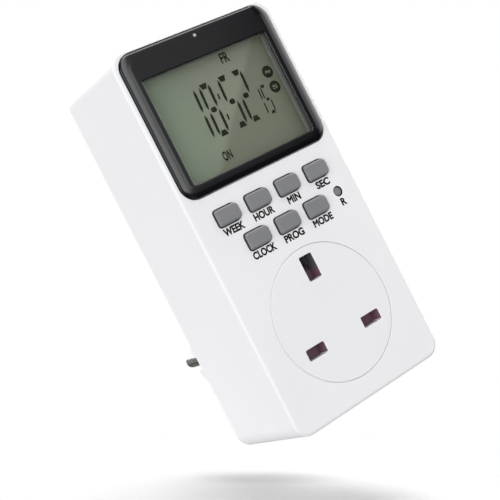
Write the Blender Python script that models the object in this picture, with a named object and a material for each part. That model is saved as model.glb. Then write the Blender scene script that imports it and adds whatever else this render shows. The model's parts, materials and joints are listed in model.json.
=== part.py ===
"""Plug-in programmable timer: a UK outlet and keys in front, a round-pin plug on the back.

All sizes are in millimetres and are turned into metres as each mesh is made. X is to the right as
seen from the front, Z is up, and Y runs into the wall. The origin is the centre of the plug boss's
end face. Depths named "d" are measured into the body from its front plane.
"""

import math

import bmesh
import bpy
from mathutils import Vector

MM = 0.001
GAP = 0.3  # clearance that separate pieces keep

# Body
BODY_WIDTH = 58.4
BODY_HEIGHT = 121.0
BODY_DEPTH = 35.0
BODY_TOP = 93.5
BODY_CORNER = 5.0
FRONT_FILLET = 1.0
SIDE_WALL = 2.0
FRONT_WALL = 2.6
BODY_MID = BODY_TOP - BODY_HEIGHT / 2

# Plug
BOSS_DEPTH = 26.0
PLINTH_DEPTH = 6.0
PLINTH_RADIUS = 21.0
BOSS_RADIUS = 18.3
BOSS_BORE = 14.5
BOSS_END_WALL = 2.5
PIN_LENGTH = 19.0
PIN_RADIUS = 2.4
PIN_SPACING = 19.0
FRONT_Y = -BOSS_DEPTH - BODY_DEPTH

# Display
BEZEL_WIDTH = 54.6
BEZEL_HEIGHT = 45.2
BEZEL_CORNER = 4.8
BEZEL_PROUD = 1.0
BEZEL_BACK = 1.3
DISPLAY_X = 0.0
DISPLAY_Z = 69.5
WINDOW_Z = 67.0
WINDOW_WIDTH = 45.7
WINDOW_HEIGHT = 32.8
LENS_WIDTH = 48.0
LENS_HEIGHT = 35.0
LENS_FRONT, LENS_BACK = 0.1, 1.1
GLASS_FRONT = 2.9
ZEBRA_Z = 50.4
CASE_WINDOW_WIDTH = 50.0
CASE_WINDOW_HEIGHT = 37.0
LED_Z = 90.0
LED_RADIUS = 0.75
BOARD_FRONT = 10.0
BOARD_THICK = 1.6

# Keys
KEY_WIDTH = 8.4
KEY_HEIGHT = 5.1
KEY_PROUD = 1.1
KEY_TRAVEL = 0.8
KEY_PITCH = 11.5
KEY_TIGHT_CORNER = 0.8
KEY_ROUND_CORNER = 2.0
UPPER_KEYS = ("week_button", "hour_button", "minute_button", "second_button")
LOWER_KEYS = ("clock_button", "program_button", "mode_button")
UPPER_KEY_X, UPPER_KEY_Z = -17.1, 39.2
LOWER_KEY_X, LOWER_KEY_Z = -11.4, 29.4
RESET_X, RESET_Z, RESET_RADIUS = 21.3, 30.5, 1.35

# Outlet, with the pin spacing of a 13 A outlet
FACE_RADIUS = 20.7
FACE_FLANGE_RADIUS = 22.6
FACE_BACK = 4.1
LINE_X, LINE_Z = 11.11, -8.1
EARTH_Z = 14.12
LINE_SLOT = (6.9, 4.3)
EARTH_SLOT = (4.6, 8.6)
SLOT_LEAD = 0.2
SHUTTER_FRONT, SHUTTER_BACK = 4.4, 6.4
SHUTTER_TRAVEL = 5.4
BASE_FRONT, BASE_BACK, BASE_RADIUS = 6.7, 27.0, 22.0
SPRING_TOP, SPRING_FOOT = -12.3, -20.3

# Fastenings
SCREW_X, SCREW_TOP_Z, SCREW_LOW_Z = 22.6, 86.8, -21.0
WELL_RADIUS, WELL_BORE, WELL_FLOOR = 4.0, 3.1, 30.7
POST_RADIUS, POST_TOP = 3.2, 29.2
PILOT_RADIUS = 1.65
BOARD_POST_X, BOARD_POST_Z = 24.0, 45.0
SOCKET_POST_X, SOCKET_POST_Z = 24.2, 16.0
SMALL_POST_RADIUS, SMALL_PILOT, SMALL_SHANK = 2.2, 1.3, 1.0
COVER_POST_X, COVER_POST_Z, COVER_POST_FRONT = 19.5, 33.0, 30.9

# Power board
POWER_FRONT = 29.0
POWER_LOW_Z, POWER_TOP_Z = 27.0, 82.0
RELAY_X, RELAY_Z = -12.0, 66.0
RELAY_WIDTH, RELAY_HEIGHT, RELAY_FRONT = 20.0, 16.0, 13.0
ARMATURE_HINGE_Z = 72.0

COLOURS = {
    "case_white": ((0.84, 0.85, 0.87), 0.38, 0.0),
    "face_white": ((0.85, 0.86, 0.88), 0.36, 0.0),
    "bezel_black": ((0.015, 0.016, 0.018), 0.12, 0.0),
    "clear": ((0.80, 0.84, 0.82), 0.05, 0.0),
    "lcd": ((0.20, 0.23, 0.16), 0.25, 0.0),
    "key_grey": ((0.19, 0.20, 0.21), 0.5, 0.0),
    "reset_grey": ((0.45, 0.46, 0.48), 0.5, 0.0),
    "rubber_grey": ((0.30, 0.31, 0.33), 0.8, 0.0),
    "shutter_red": ((0.11, 0.045, 0.07), 0.45, 0.0),
    "base_grey": ((0.55, 0.56, 0.58), 0.5, 0.0),
    "nickel": ((0.62, 0.60, 0.56), 0.25, 1.0),
    "brass": ((0.78, 0.60, 0.28), 0.3, 1.0),
    "steel": ((0.60, 0.61, 0.63), 0.3, 1.0),
    "board_green": ((0.03, 0.17, 0.09), 0.4, 0.0),
    "black_plastic": ((0.02, 0.02, 0.022), 0.45, 0.0),
    "relay_blue": ((0.03, 0.10, 0.38), 0.35, 0.0),
    "copper": ((0.70, 0.32, 0.16), 0.35, 1.0),
    "film_yellow": ((0.75, 0.52, 0.06), 0.4, 0.0),
    "wire_brown": ((0.17, 0.07, 0.03), 0.5, 0.0),
    "wire_blue": ((0.03, 0.13, 0.45), 0.5, 0.0),
    "wire_green": ((0.12, 0.40, 0.05), 0.5, 0.0),
    "wire_red": ((0.45, 0.03, 0.03), 0.5, 0.0),
}


def clear_scene():
    for obj in list(bpy.data.objects):
        bpy.data.objects.remove(obj)


def material(name):
    found = bpy.data.materials.get(name)
    if found:
        return found
    colour, roughness, metallic = COLOURS[name]
    made = bpy.data.materials.new(name)
    made.use_nodes = True
    shader = made.node_tree.nodes["Principled BSDF"]
    shader.inputs["Base Color"].default_value = (*colour, 1.0)
    shader.inputs["Roughness"].default_value = roughness
    shader.inputs["Metallic"].default_value = metallic
    return made


# Outlines are lists of (u, v) points in millimetres, counter-clockwise.


def corner_arcs(corners, steps):
    """Points of an outline whose corners, given as (u, v, radius, start angle), are quarter arcs."""
    return [
        (u + radius * math.cos(angle), v + radius * math.sin(angle))
        for u, v, radius, start in corners
        for angle in (math.radians(start + 90.0 * step / steps) for step in range(steps + 1))
    ]


def rounded(width, height, radius, centre=(0.0, 0.0), steps=6):
    """A rectangle with four equal round corners."""
    u, v = width / 2 - radius, height / 2 - radius
    x, z = centre
    corners = [
        (x + u, z + v, radius, 0),
        (x - u, z + v, radius, 90),
        (x - u, z - v, radius, 180),
        (x + u, z - v, radius, 270),
    ]
    return corner_arcs(corners, steps)


def key_outline(grow, centre=(0.0, 0.0)):
    """A key's outline, tight at its left corners and rounder at its right ones."""
    x, z = centre
    u, v = KEY_WIDTH / 2 + grow, KEY_HEIGHT / 2 + grow
    tight, wide = max(KEY_TIGHT_CORNER + grow, 0.1), KEY_ROUND_CORNER + grow
    corners = [
        (x + u - wide, z + v - wide, wide, 0),
        (x - u + tight, z + v - tight, tight, 90),
        (x - u + tight, z - v + tight, tight, 180),
        (x + u - wide, z - v + wide, wide, 270),
    ]
    return corner_arcs(corners, 3)


def circle(radius, centre=(0.0, 0.0), count=24):
    x, z = centre
    angles = [2 * math.pi * step / count for step in range(count)]
    return [(x + radius * math.cos(a), z + radius * math.sin(a)) for a in angles]


def box_outline(low_u, high_u, low_v, high_v):
    return [(high_u, high_v), (low_u, high_v), (low_u, low_v), (high_u, low_v)]


# A section is (place along the axis, outline). Sections along "Y" are given as depths d.


def on_axis(axis, place, u, v):
    if axis == "Y":
        return Vector((u, FRONT_Y + place, v)) * MM
    if axis == "Z":
        return Vector((u, FRONT_Y + v, place)) * MM
    return Vector((place, FRONT_Y + u, v)) * MM


def add_loft(mesh, sections, axis="Y", closed=False):
    """Joins sections with equal point counts by side faces. An open row of them gets flat ends."""
    rings = [
        [mesh.verts.new(on_axis(axis, place, u, v)) for u, v in outline]
        for place, outline in sections
    ]
    pairs = list(zip(rings, rings[1:] + ([rings[0]] if closed else [])))
    faces = []
    for near, far in pairs:
        count = len(near)
        for i in range(count):
            j = (i + 1) % count
            faces.append(mesh.faces.new((near[i], near[j], far[j], far[i])))
    if not closed:
        faces.append(mesh.faces.new(rings[0]))
        faces.append(mesh.faces.new(list(reversed(rings[-1]))))
    bmesh.ops.recalc_face_normals(mesh, faces=faces)


def loft(*groups, axis="Y"):
    """A mesh of one or more open lofts, each a list of sections."""
    mesh = bmesh.new()
    for sections in groups:
        add_loft(mesh, sections, axis)
    return mesh


def prism(outline, low, high, axis="Y"):
    return loft([(low, outline), (high, outline)], axis=axis)


def turned(profile, centre=(0.0, 0.0), count=24, axis="Y"):
    """A round piece from (place along the axis, radius) pairs."""
    return loft([(place, circle(radius, centre, count)) for place, radius in profile], axis=axis)


def ring_loft(sections, axis="Y"):
    """A frame or sleeve: its sections run round a closed profile."""
    mesh = bmesh.new()
    add_loft(mesh, sections, axis, closed=True)
    return mesh


def tube(points, radius, sides=6):
    """A round wire through points given as (x, d, z)."""
    mesh = bmesh.new()
    path = [Vector((x, FRONT_Y + d, z)) * MM for x, d, z in points]
    side = None
    rings = []
    for index, point in enumerate(path):
        ahead = path[min(index + 1, len(path) - 1)] - path[max(index - 1, 0)]
        ahead.normalize()
        if side is None:
            side = ahead.orthogonal().normalized()
        side = (side - ahead * side.dot(ahead)).normalized()
        other = ahead.cross(side)
        angles = [2 * math.pi * step / sides for step in range(sides)]
        rings.append([
            mesh.verts.new(point + (side * math.cos(a) + other * math.sin(a)) * radius * MM)
            for a in angles
        ])
    for near, far in zip(rings, rings[1:]):
        for i in range(sides):
            j = (i + 1) % sides
            mesh.faces.new((near[i], near[j], far[j], far[i]))
    mesh.faces.new(rings[0])
    mesh.faces.new(list(reversed(rings[-1])))
    bmesh.ops.recalc_face_normals(mesh, faces=mesh.faces)
    return mesh


def smooth_route(points, per_span=3):
    """A Catmull-Rom curve through the points, so that a wire bends evenly."""
    ends = [points[0], *points, points[-1]]
    route = []
    for a, b, c, d in zip(ends, ends[1:], ends[2:], ends[3:]):
        for step in range(per_span):
            t = step / per_span
            route.append(tuple(
                0.5 * (2 * q + (r - p) * t + (2 * p - 5 * q + 4 * r - s) * t * t
                       + (3 * q - p - 3 * r + s) * t ** 3)
                for p, q, r, s in zip(a, b, c, d)
            ))
    return [*route, points[-1]]


def place(name, mesh, colour, origin=(0.0, 0.0, 0.0), smooth=35.0):
    """Makes the named object from the mesh, with its origin at (x, d, z) where one is given."""
    data = bpy.data.meshes.new(name)
    at = Vector((0, 0, 0))
    if any(origin):
        at = Vector((origin[0], FRONT_Y + origin[1], origin[2])) * MM
        bmesh.ops.translate(mesh, vec=-at, verts=mesh.verts)
    mesh.to_mesh(data)
    mesh.free()
    data.materials.append(material(colour))
    data.shade_smooth()
    data.set_sharp_from_angle(angle=math.radians(smooth))
    obj = bpy.data.objects.new(name, data)
    obj.location = at
    bpy.context.scene.collection.objects.link(obj)
    return obj


def change(obj, mesh, operation):
    """Adds a Boolean modifier whose helper is the mesh."""
    helper = place(f"{obj.name}_{operation.lower()}_{len(obj.modifiers)}", mesh, "black_plastic")
    helper.hide_render = True
    helper.hide_set(True)
    helper.display_type = "WIRE"
    modifier = obj.modifiers.new(operation.title(), "BOOLEAN")
    modifier.operation = operation
    modifier.object = helper
    modifier.solver = "EXACT"


def add(obj, mesh):
    change(obj, mesh, "UNION")


def cut(obj, mesh):
    change(obj, mesh, "DIFFERENCE")


def upper_key_centres():
    return [(UPPER_KEY_X + KEY_PITCH * i, UPPER_KEY_Z) for i in range(len(UPPER_KEYS))]


def lower_key_centres():
    return [(LOWER_KEY_X + KEY_PITCH * i, LOWER_KEY_Z) for i in range(len(LOWER_KEYS))]


def key_centres():
    return upper_key_centres() + lower_key_centres()


def slot_outlines(grow):
    """The outlet's three slots, live right, neutral left, earth on top."""
    line = (LINE_SLOT[0] + 2 * grow, LINE_SLOT[1] + 2 * grow)
    earth = (EARTH_SLOT[0] + 2 * grow, EARTH_SLOT[1] + 2 * grow)
    return [
        rounded(*line, 0.5, (LINE_X, LINE_Z), 2),
        rounded(*line, 0.5, (-LINE_X, LINE_Z), 2),
        rounded(*earth, 0.5, (0.0, EARTH_Z), 2),
    ]


def body_outline(inset, steps=6):
    radius = max(BODY_CORNER - inset, 0.5)
    return rounded(BODY_WIDTH - 2 * inset, BODY_HEIGHT - 2 * inset, radius, (0.0, BODY_MID), steps)


def fillet(start, radius, steps):
    """(depth, inset) pairs of a quarter round that starts at depth start."""
    angles = [math.pi / 2 * step / steps for step in range(steps + 1)]
    return [(start + radius * (1 - math.sin(a)), radius * (1 - math.cos(a))) for a in reversed(angles)]


def make_front_case():
    outside = [(d, body_outline(inset)) for d, inset in fillet(0.0, FRONT_FILLET, 3)]
    back = [(BODY_DEPTH, body_outline(0.0)), (BODY_DEPTH, body_outline(SIDE_WALL))]
    inside = [(FRONT_WALL, body_outline(SIDE_WALL))]
    case = place("front_case", loft(outside + back + inside), "case_white")

    ribs_and_posts = []
    for x in (-SCREW_X, SCREW_X):
        side = math.copysign(1.0, x)
        wall = side * (BODY_WIDTH / 2 - SIDE_WALL / 2)
        for z, front in ((SCREW_TOP_Z, BOARD_FRONT + 5.0), (SCREW_LOW_Z, FRONT_WALL - 0.5)):
            post = circle(POST_RADIUS, (x, z), 16)
            ribs_and_posts.append([(front, post), (POST_TOP, post)])
            rib = box_outline(min(x + side, wall), max(x + side, wall), z - 0.8, z + 0.8)
            ribs_and_posts.append([(front, rib), (POST_TOP, rib)])
    for x, z, top in (
        (BOARD_POST_X, BOARD_POST_Z, BOARD_FRONT - GAP),
        (SOCKET_POST_X, SOCKET_POST_Z, BASE_FRONT - GAP),
    ):
        for side in (-1, 1):
            post = circle(SMALL_POST_RADIUS, (side * x, z), 16)
            ribs_and_posts.append([(FRONT_WALL - 0.5, post), (top, post)])
    for group in ribs_and_posts:
        add(case, loft(group))

    pocket = rounded(
        BEZEL_WIDTH + 2 * GAP, BEZEL_HEIGHT + 2 * GAP, BEZEL_CORNER + GAP, (DISPLAY_X, DISPLAY_Z), 8
    )
    opening = rounded(CASE_WINDOW_WIDTH, CASE_WINDOW_HEIGHT, 1.0, (DISPLAY_X, WINDOW_Z), 2)
    cut(case, prism(pocket, -1.0, BEZEL_BACK + GAP))
    through = [opening, circle(LED_RADIUS + GAP, (DISPLAY_X, LED_Z), 12)]
    through += [key_outline(GAP, centre) for centre in key_centres()]
    through += [circle(RESET_RADIUS + GAP, (RESET_X, RESET_Z), 20)]
    through += [circle(FACE_RADIUS + GAP, (0.0, 0.0), 48)]
    cut(case, loft(*[[(-1.0, hole), (FRONT_WALL + 1.0, hole)] for hole in through]))
    pilots = []
    for side in (-1, 1):
        for z in (SCREW_TOP_Z, SCREW_LOW_Z):
            hole = circle(PILOT_RADIUS, (side * SCREW_X, z), 12)
            pilots.append([(BOARD_FRONT + 8.0, hole), (POST_TOP + 1.0, hole)])
        for x, z, top in (
            (BOARD_POST_X, BOARD_POST_Z, BOARD_FRONT),
            (SOCKET_POST_X, SOCKET_POST_Z, BASE_FRONT),
        ):
            hole = circle(SMALL_PILOT, (side * x, z), 10)
            pilots.append([(FRONT_WALL - 1.0, hole), (top + 1.0, hole)])
    cut(case, loft(*pilots))


def make_rear_cover():
    """The back plate, set inside the case's wall, and the hollow boss that stands in the wall outlet."""
    inner = BODY_DEPTH - SIDE_WALL
    plate = body_outline(SIDE_WALL + GAP)
    cover = place("rear_cover", prism(plate, inner, BODY_DEPTH), "case_white")
    plinth_end = BODY_DEPTH + PLINTH_DEPTH
    boss_end = BODY_DEPTH + BOSS_DEPTH
    profile = [
        (inner + 0.5, PLINTH_RADIUS),
        (plinth_end - 0.8, PLINTH_RADIUS),
        (plinth_end, PLINTH_RADIUS - 0.8),
        (plinth_end, BOSS_RADIUS),
        (boss_end - 0.9, BOSS_RADIUS - 0.2),
        (boss_end - 0.25, BOSS_RADIUS - 0.5),
        (boss_end, BOSS_RADIUS - 1.1),
    ]
    add(cover, turned(profile, count=44))
    wells = []
    for side in (-1, 1):
        for z in (SCREW_TOP_Z, SCREW_LOW_Z):
            wells.append((side * SCREW_X, z))
    for centre in wells:
        add(cover, turned([(POST_TOP + GAP, WELL_RADIUS), (inner + 0.5, WELL_RADIUS)], centre, 20))
    for side in (-1, 1):
        post = [(COVER_POST_FRONT, SMALL_POST_RADIUS), (inner + 0.5, SMALL_POST_RADIUS)]
        add(cover, turned(post, (side * COVER_POST_X, COVER_POST_Z), 16))

    hollow = turned([(inner - 1.0, BOSS_BORE), (boss_end - BOSS_END_WALL, BOSS_BORE)], count=40)
    cut(cover, hollow)
    holes = []
    for centre in wells:
        bore, shank = circle(WELL_BORE, centre, 20), circle(PILOT_RADIUS, centre, 12)
        holes.append([(WELL_FLOOR, bore), (BODY_DEPTH + 1.0, bore)])
        holes.append([(POST_TOP - 1.0, shank), (WELL_FLOOR + 0.5, shank)])
    for side in (-1, 1):
        pin = circle(PIN_RADIUS + GAP, (side * PIN_SPACING / 2, 0.0), 20)
        holes.append([(boss_end - BOSS_END_WALL - 1.0, pin), (boss_end + 1.0, pin)])
        pilot = circle(SMALL_PILOT, (side * COVER_POST_X, COVER_POST_Z), 10)
        holes.append([(COVER_POST_FRONT - 1.0, pilot), (inner + 0.9, pilot)])
        key = box_outline(*sorted((side * (BOSS_RADIUS - 1.9), side * (BOSS_RADIUS + 3.0))), -2.4, 2.4)
        holes.append([(plinth_end + 2.5, key), (boss_end + 1.0, key)])
        groove = box_outline(-3.3, 3.3, *sorted((side * (BOSS_RADIUS - 1.7), side * (BOSS_RADIUS + 3.0))))
        holes.append([(boss_end - 17.5, groove), (boss_end + 1.0, groove)])
        passage = box_outline(-3.3, 3.3, *sorted((side * 12.0, side * (BOSS_RADIUS + 3.0))))
        holes.append([(boss_end - 17.5, passage), (boss_end - 15.9, passage)])
    for group in holes:
        cut(cover, loft(group))


def make_plug():
    boss_end = BODY_DEPTH + BOSS_DEPTH
    carrier_front, carrier_back = boss_end - 9.0, boss_end - BOSS_END_WALL - GAP
    carrier = turned([(carrier_front, BOSS_BORE - GAP), (carrier_back, BOSS_BORE - GAP)], count=32)
    carrier = place("pin_carrier", carrier, "base_grey")
    tip = boss_end + PIN_LENGTH
    for side, name in ((1, "live_pin"), (-1, "neutral_pin")):
        centre = (side * PIN_SPACING / 2, 0.0)
        cut(carrier, prism(circle(PIN_RADIUS + GAP, centre, 20), carrier_front - 1, carrier_back + 1))
        profile = [
            (carrier_front - 7.0, 1.3),
            (carrier_front - 2.3, 1.3),
            (carrier_front - 2.3, 3.6),
            (carrier_front - GAP, 3.6),
            (carrier_front - GAP, PIN_RADIUS),
            (tip - 1.6, PIN_RADIUS),
            (tip - 0.8, PIN_RADIUS - 0.25),
            (tip - 0.25, PIN_RADIUS - 0.8),
            (tip, PIN_RADIUS - 1.5),
        ]
        place(name, turned(profile, centre, 20), "nickel")

    # Each earth clip is one bent strip: a leaf along the boss's side and a tail through the slot.
    leaf_r, thick = BOSS_RADIUS - 1.25, 0.8
    back = boss_end - 17.1
    strip = [
        (back, 11.0),
        (back, leaf_r + 0.2),
        (boss_end - 12.0, leaf_r + thick),
        (boss_end - 5.0, leaf_r + thick + 0.15),
        (boss_end - 1.2, leaf_r + 0.25),
        (boss_end - 1.2, leaf_r - 0.1),
        (boss_end - 5.0, leaf_r + 0.15),
        (boss_end - 12.0, leaf_r),
        (back + 0.9, leaf_r),
        (back + 0.9, 11.0),
    ]
    for side, name in ((1, "earth_clip_top"), (-1, "earth_clip_bottom")):
        outline = [(d, side * radius) for d, radius in strip]
        place(name, prism(outline, -2.8, 2.8, axis="X"), "nickel")


def make_display():
    def frame(inset, window_grow):
        outer = rounded(
            BEZEL_WIDTH - 2 * inset, BEZEL_HEIGHT - 2 * inset, BEZEL_CORNER - inset,
            (DISPLAY_X, DISPLAY_Z), 8,
        )
        inner = rounded(
            WINDOW_WIDTH + 2 * window_grow, WINDOW_HEIGHT + 2 * window_grow, 0.6,
            (DISPLAY_X, WINDOW_Z), 8,
        )
        return outer, inner

    proud = -BEZEL_PROUD
    rebate = (LENS_WIDTH + 2 * GAP - WINDOW_WIDTH) / 2
    sections = [
        (proud + 0.9, frame(0.0, 0.0)[0]),
        (BEZEL_BACK, frame(0.0, 0.0)[0]),
        (BEZEL_BACK, frame(0.0, rebate)[1]),
        (-0.2, frame(0.0, rebate)[1]),
        (-0.2, frame(0.0, 0.0)[1]),
        (proud + 0.35, frame(0.0, 0.0)[1]),
        (proud, frame(0.0, 0.35)[1]),
        (proud, frame(2.2, 0.0)[0]),
        (proud + 0.25, frame(0.8, 0.0)[0]),
    ]
    bezel = place("bezel", ring_loft(sections), "bezel_black")
    cut(bezel, prism(circle(LED_RADIUS + GAP, (DISPLAY_X, LED_Z), 16), proud - 1, BEZEL_BACK + 1))

    lens = rounded(LENS_WIDTH, LENS_HEIGHT, 0.8, (DISPLAY_X, WINDOW_Z), 2)
    place("display_window", prism(lens, LENS_FRONT, LENS_BACK), "clear")
    pipe = [(proud - 0.05, 0.45), (proud + 0.15, LED_RADIUS), (6.2, LED_RADIUS)]
    place("led_light_pipe", turned(pipe, (DISPLAY_X, LED_Z), 16), "clear")
    led = [(6.5, 0.5), (6.8, 0.8), (7.5, 1.0), (9.0, 1.0), (9.0, 1.2), (9.7, 1.2)]
    place("indicator_led", turned(led, (DISPLAY_X, LED_Z), 16), "clear")

    mask_outer = rounded(
        CASE_WINDOW_WIDTH - 2 * GAP, CASE_WINDOW_HEIGHT - 2 * GAP, 0.7, (DISPLAY_X, WINDOW_Z), 2
    )
    mask_inner = rounded(WINDOW_WIDTH, WINDOW_HEIGHT, 0.6, (DISPLAY_X, WINDOW_Z), 2)
    collar = rounded(LENS_WIDTH - 0.2, LENS_HEIGHT - 0.2, 0.6, (DISPLAY_X, WINDOW_Z), 2)
    mask = [(LENS_BACK + GAP, collar), (BEZEL_BACK + GAP, collar), (BEZEL_BACK + GAP, mask_outer),
            (GLASS_FRONT - GAP, mask_outer), (GLASS_FRONT - GAP, mask_inner), (LENS_BACK + GAP, mask_inner)]
    place("lcd_mask", ring_loft(mask), "reset_grey")
    glass = rounded(48.8, 35.8, 0.5, (DISPLAY_X, WINDOW_Z), 2)
    glass_back = GLASS_FRONT + 1.6
    film_front, film_back = glass_back + GAP, glass_back + GAP + 0.3
    place("lcd_glass", prism(glass, GLASS_FRONT, glass_back), "lcd")
    cut_corner = rounded(48.8, 31.0, 0.5, (DISPLAY_X, WINDOW_Z + 2.0), 2)
    place("lcd_backing_film", prism(cut_corner, film_front, film_back), "rubber_grey")
    holder_outline = rounded(53.0, 38.0, 1.5, (DISPLAY_X, WINDOW_Z), 3)
    holder = place("lcd_holder", prism(holder_outline, film_back + GAP, BOARD_FRONT - GAP), "face_white")
    cavity = rounded(45.0, 26.0, 1.0, (DISPLAY_X, WINDOW_Z + 2.0), 2)
    slot = rounded(45.2, 2.8, 0.4, (DISPLAY_X, ZEBRA_Z), 2)
    cut(holder, loft([(6.6, cavity), (BOARD_FRONT + 1, cavity)], [(3.0, slot), (BOARD_FRONT + 1, slot)]))
    strip = rounded(44.0, 2.0, 0.3, (DISPLAY_X, ZEBRA_Z), 2)
    place("zebra_strip", prism(strip, glass_back + GAP, BOARD_FRONT - GAP), "rubber_grey")

    board_outline = rounded(53.4, 66.5, 3.0, (DISPLAY_X, 57.75), 3)
    board = place(
        "display_board", prism(board_outline, BOARD_FRONT, BOARD_FRONT + BOARD_THICK), "board_green"
    )
    posts = [circle(SMALL_PILOT, (side * BOARD_POST_X, BOARD_POST_Z), 12) for side in (-1, 1)]
    cut(board, loft(*[[(BOARD_FRONT - 1, hole), (BOARD_FRONT + 3, hole)] for hole in posts]))
    behind = BOARD_FRONT + BOARD_THICK + GAP
    blob = [(behind, 6.5), (behind + 0.7, 6.2), (behind + 1.3, 4.8), (behind + 1.6, 2.6)]
    place("controller_chip", turned(blob, (8.0, 70.0), 24), "black_plastic", smooth=60)
    crystal = rounded(10.5, 4.2, 2.0, (8.0, 57.0), 4)
    place("quartz_crystal", prism(crystal, behind, behind + 3.2), "steel")
    cell = [(behind, 7.8), (behind + 5.4, 7.8), (behind + 5.8, 7.4)]
    place("backup_cell", turned(cell, (13.0, 38.6), 24), "steel")


def make_keys():
    flange_front, flange_back, stem_back = FRONT_WALL + GAP, FRONT_WALL + GAP + 1.2, 6.0
    tops = [(-KEY_PROUD, -0.7), (-KEY_PROUD + 0.12, -0.3), (-KEY_PROUD + 0.45, 0.0)]
    for names, centres in ((UPPER_KEYS, upper_key_centres()), (LOWER_KEYS, lower_key_centres())):
        for name, centre in zip(names, centres):
            sections = [(d, key_outline(inset, centre)) for d, inset in tops]
            sections += [
                (flange_front, key_outline(0.0, centre)),
                (flange_front, key_outline(0.9, centre)),
                (flange_back, key_outline(0.9, centre)),
                (flange_back, key_outline(-1.2, centre)),
                (stem_back, key_outline(-1.2, centre)),
            ]
            place(name, loft(sections), "key_grey", (centre[0], 0.0, centre[1]))
    centre = (RESET_X, RESET_Z)
    stem = [
        (0.25, RESET_RADIUS - 0.35),
        (0.4, RESET_RADIUS),
        (flange_front, RESET_RADIUS),
        (flange_front, RESET_RADIUS + 0.8),
        (flange_back, RESET_RADIUS + 0.8),
        (flange_back, 0.9),
        (stem_back, 0.9),
    ]
    place("reset_button", turned(stem, centre, 20), "reset_grey", (RESET_X, 0.0, RESET_Z))

    sheet = rounded(49.5, 16.4, 1.0, (0.6, 34.0), 2)
    mat = place("keypad_mat", prism(sheet, 8.7, 9.7), "rubber_grey")
    domes = key_centres() + [centre]
    for dome in domes:
        add(mat, turned([(stem_back + 1.1, 1.2), (9.0, 2.0)], dome, 10))


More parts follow.
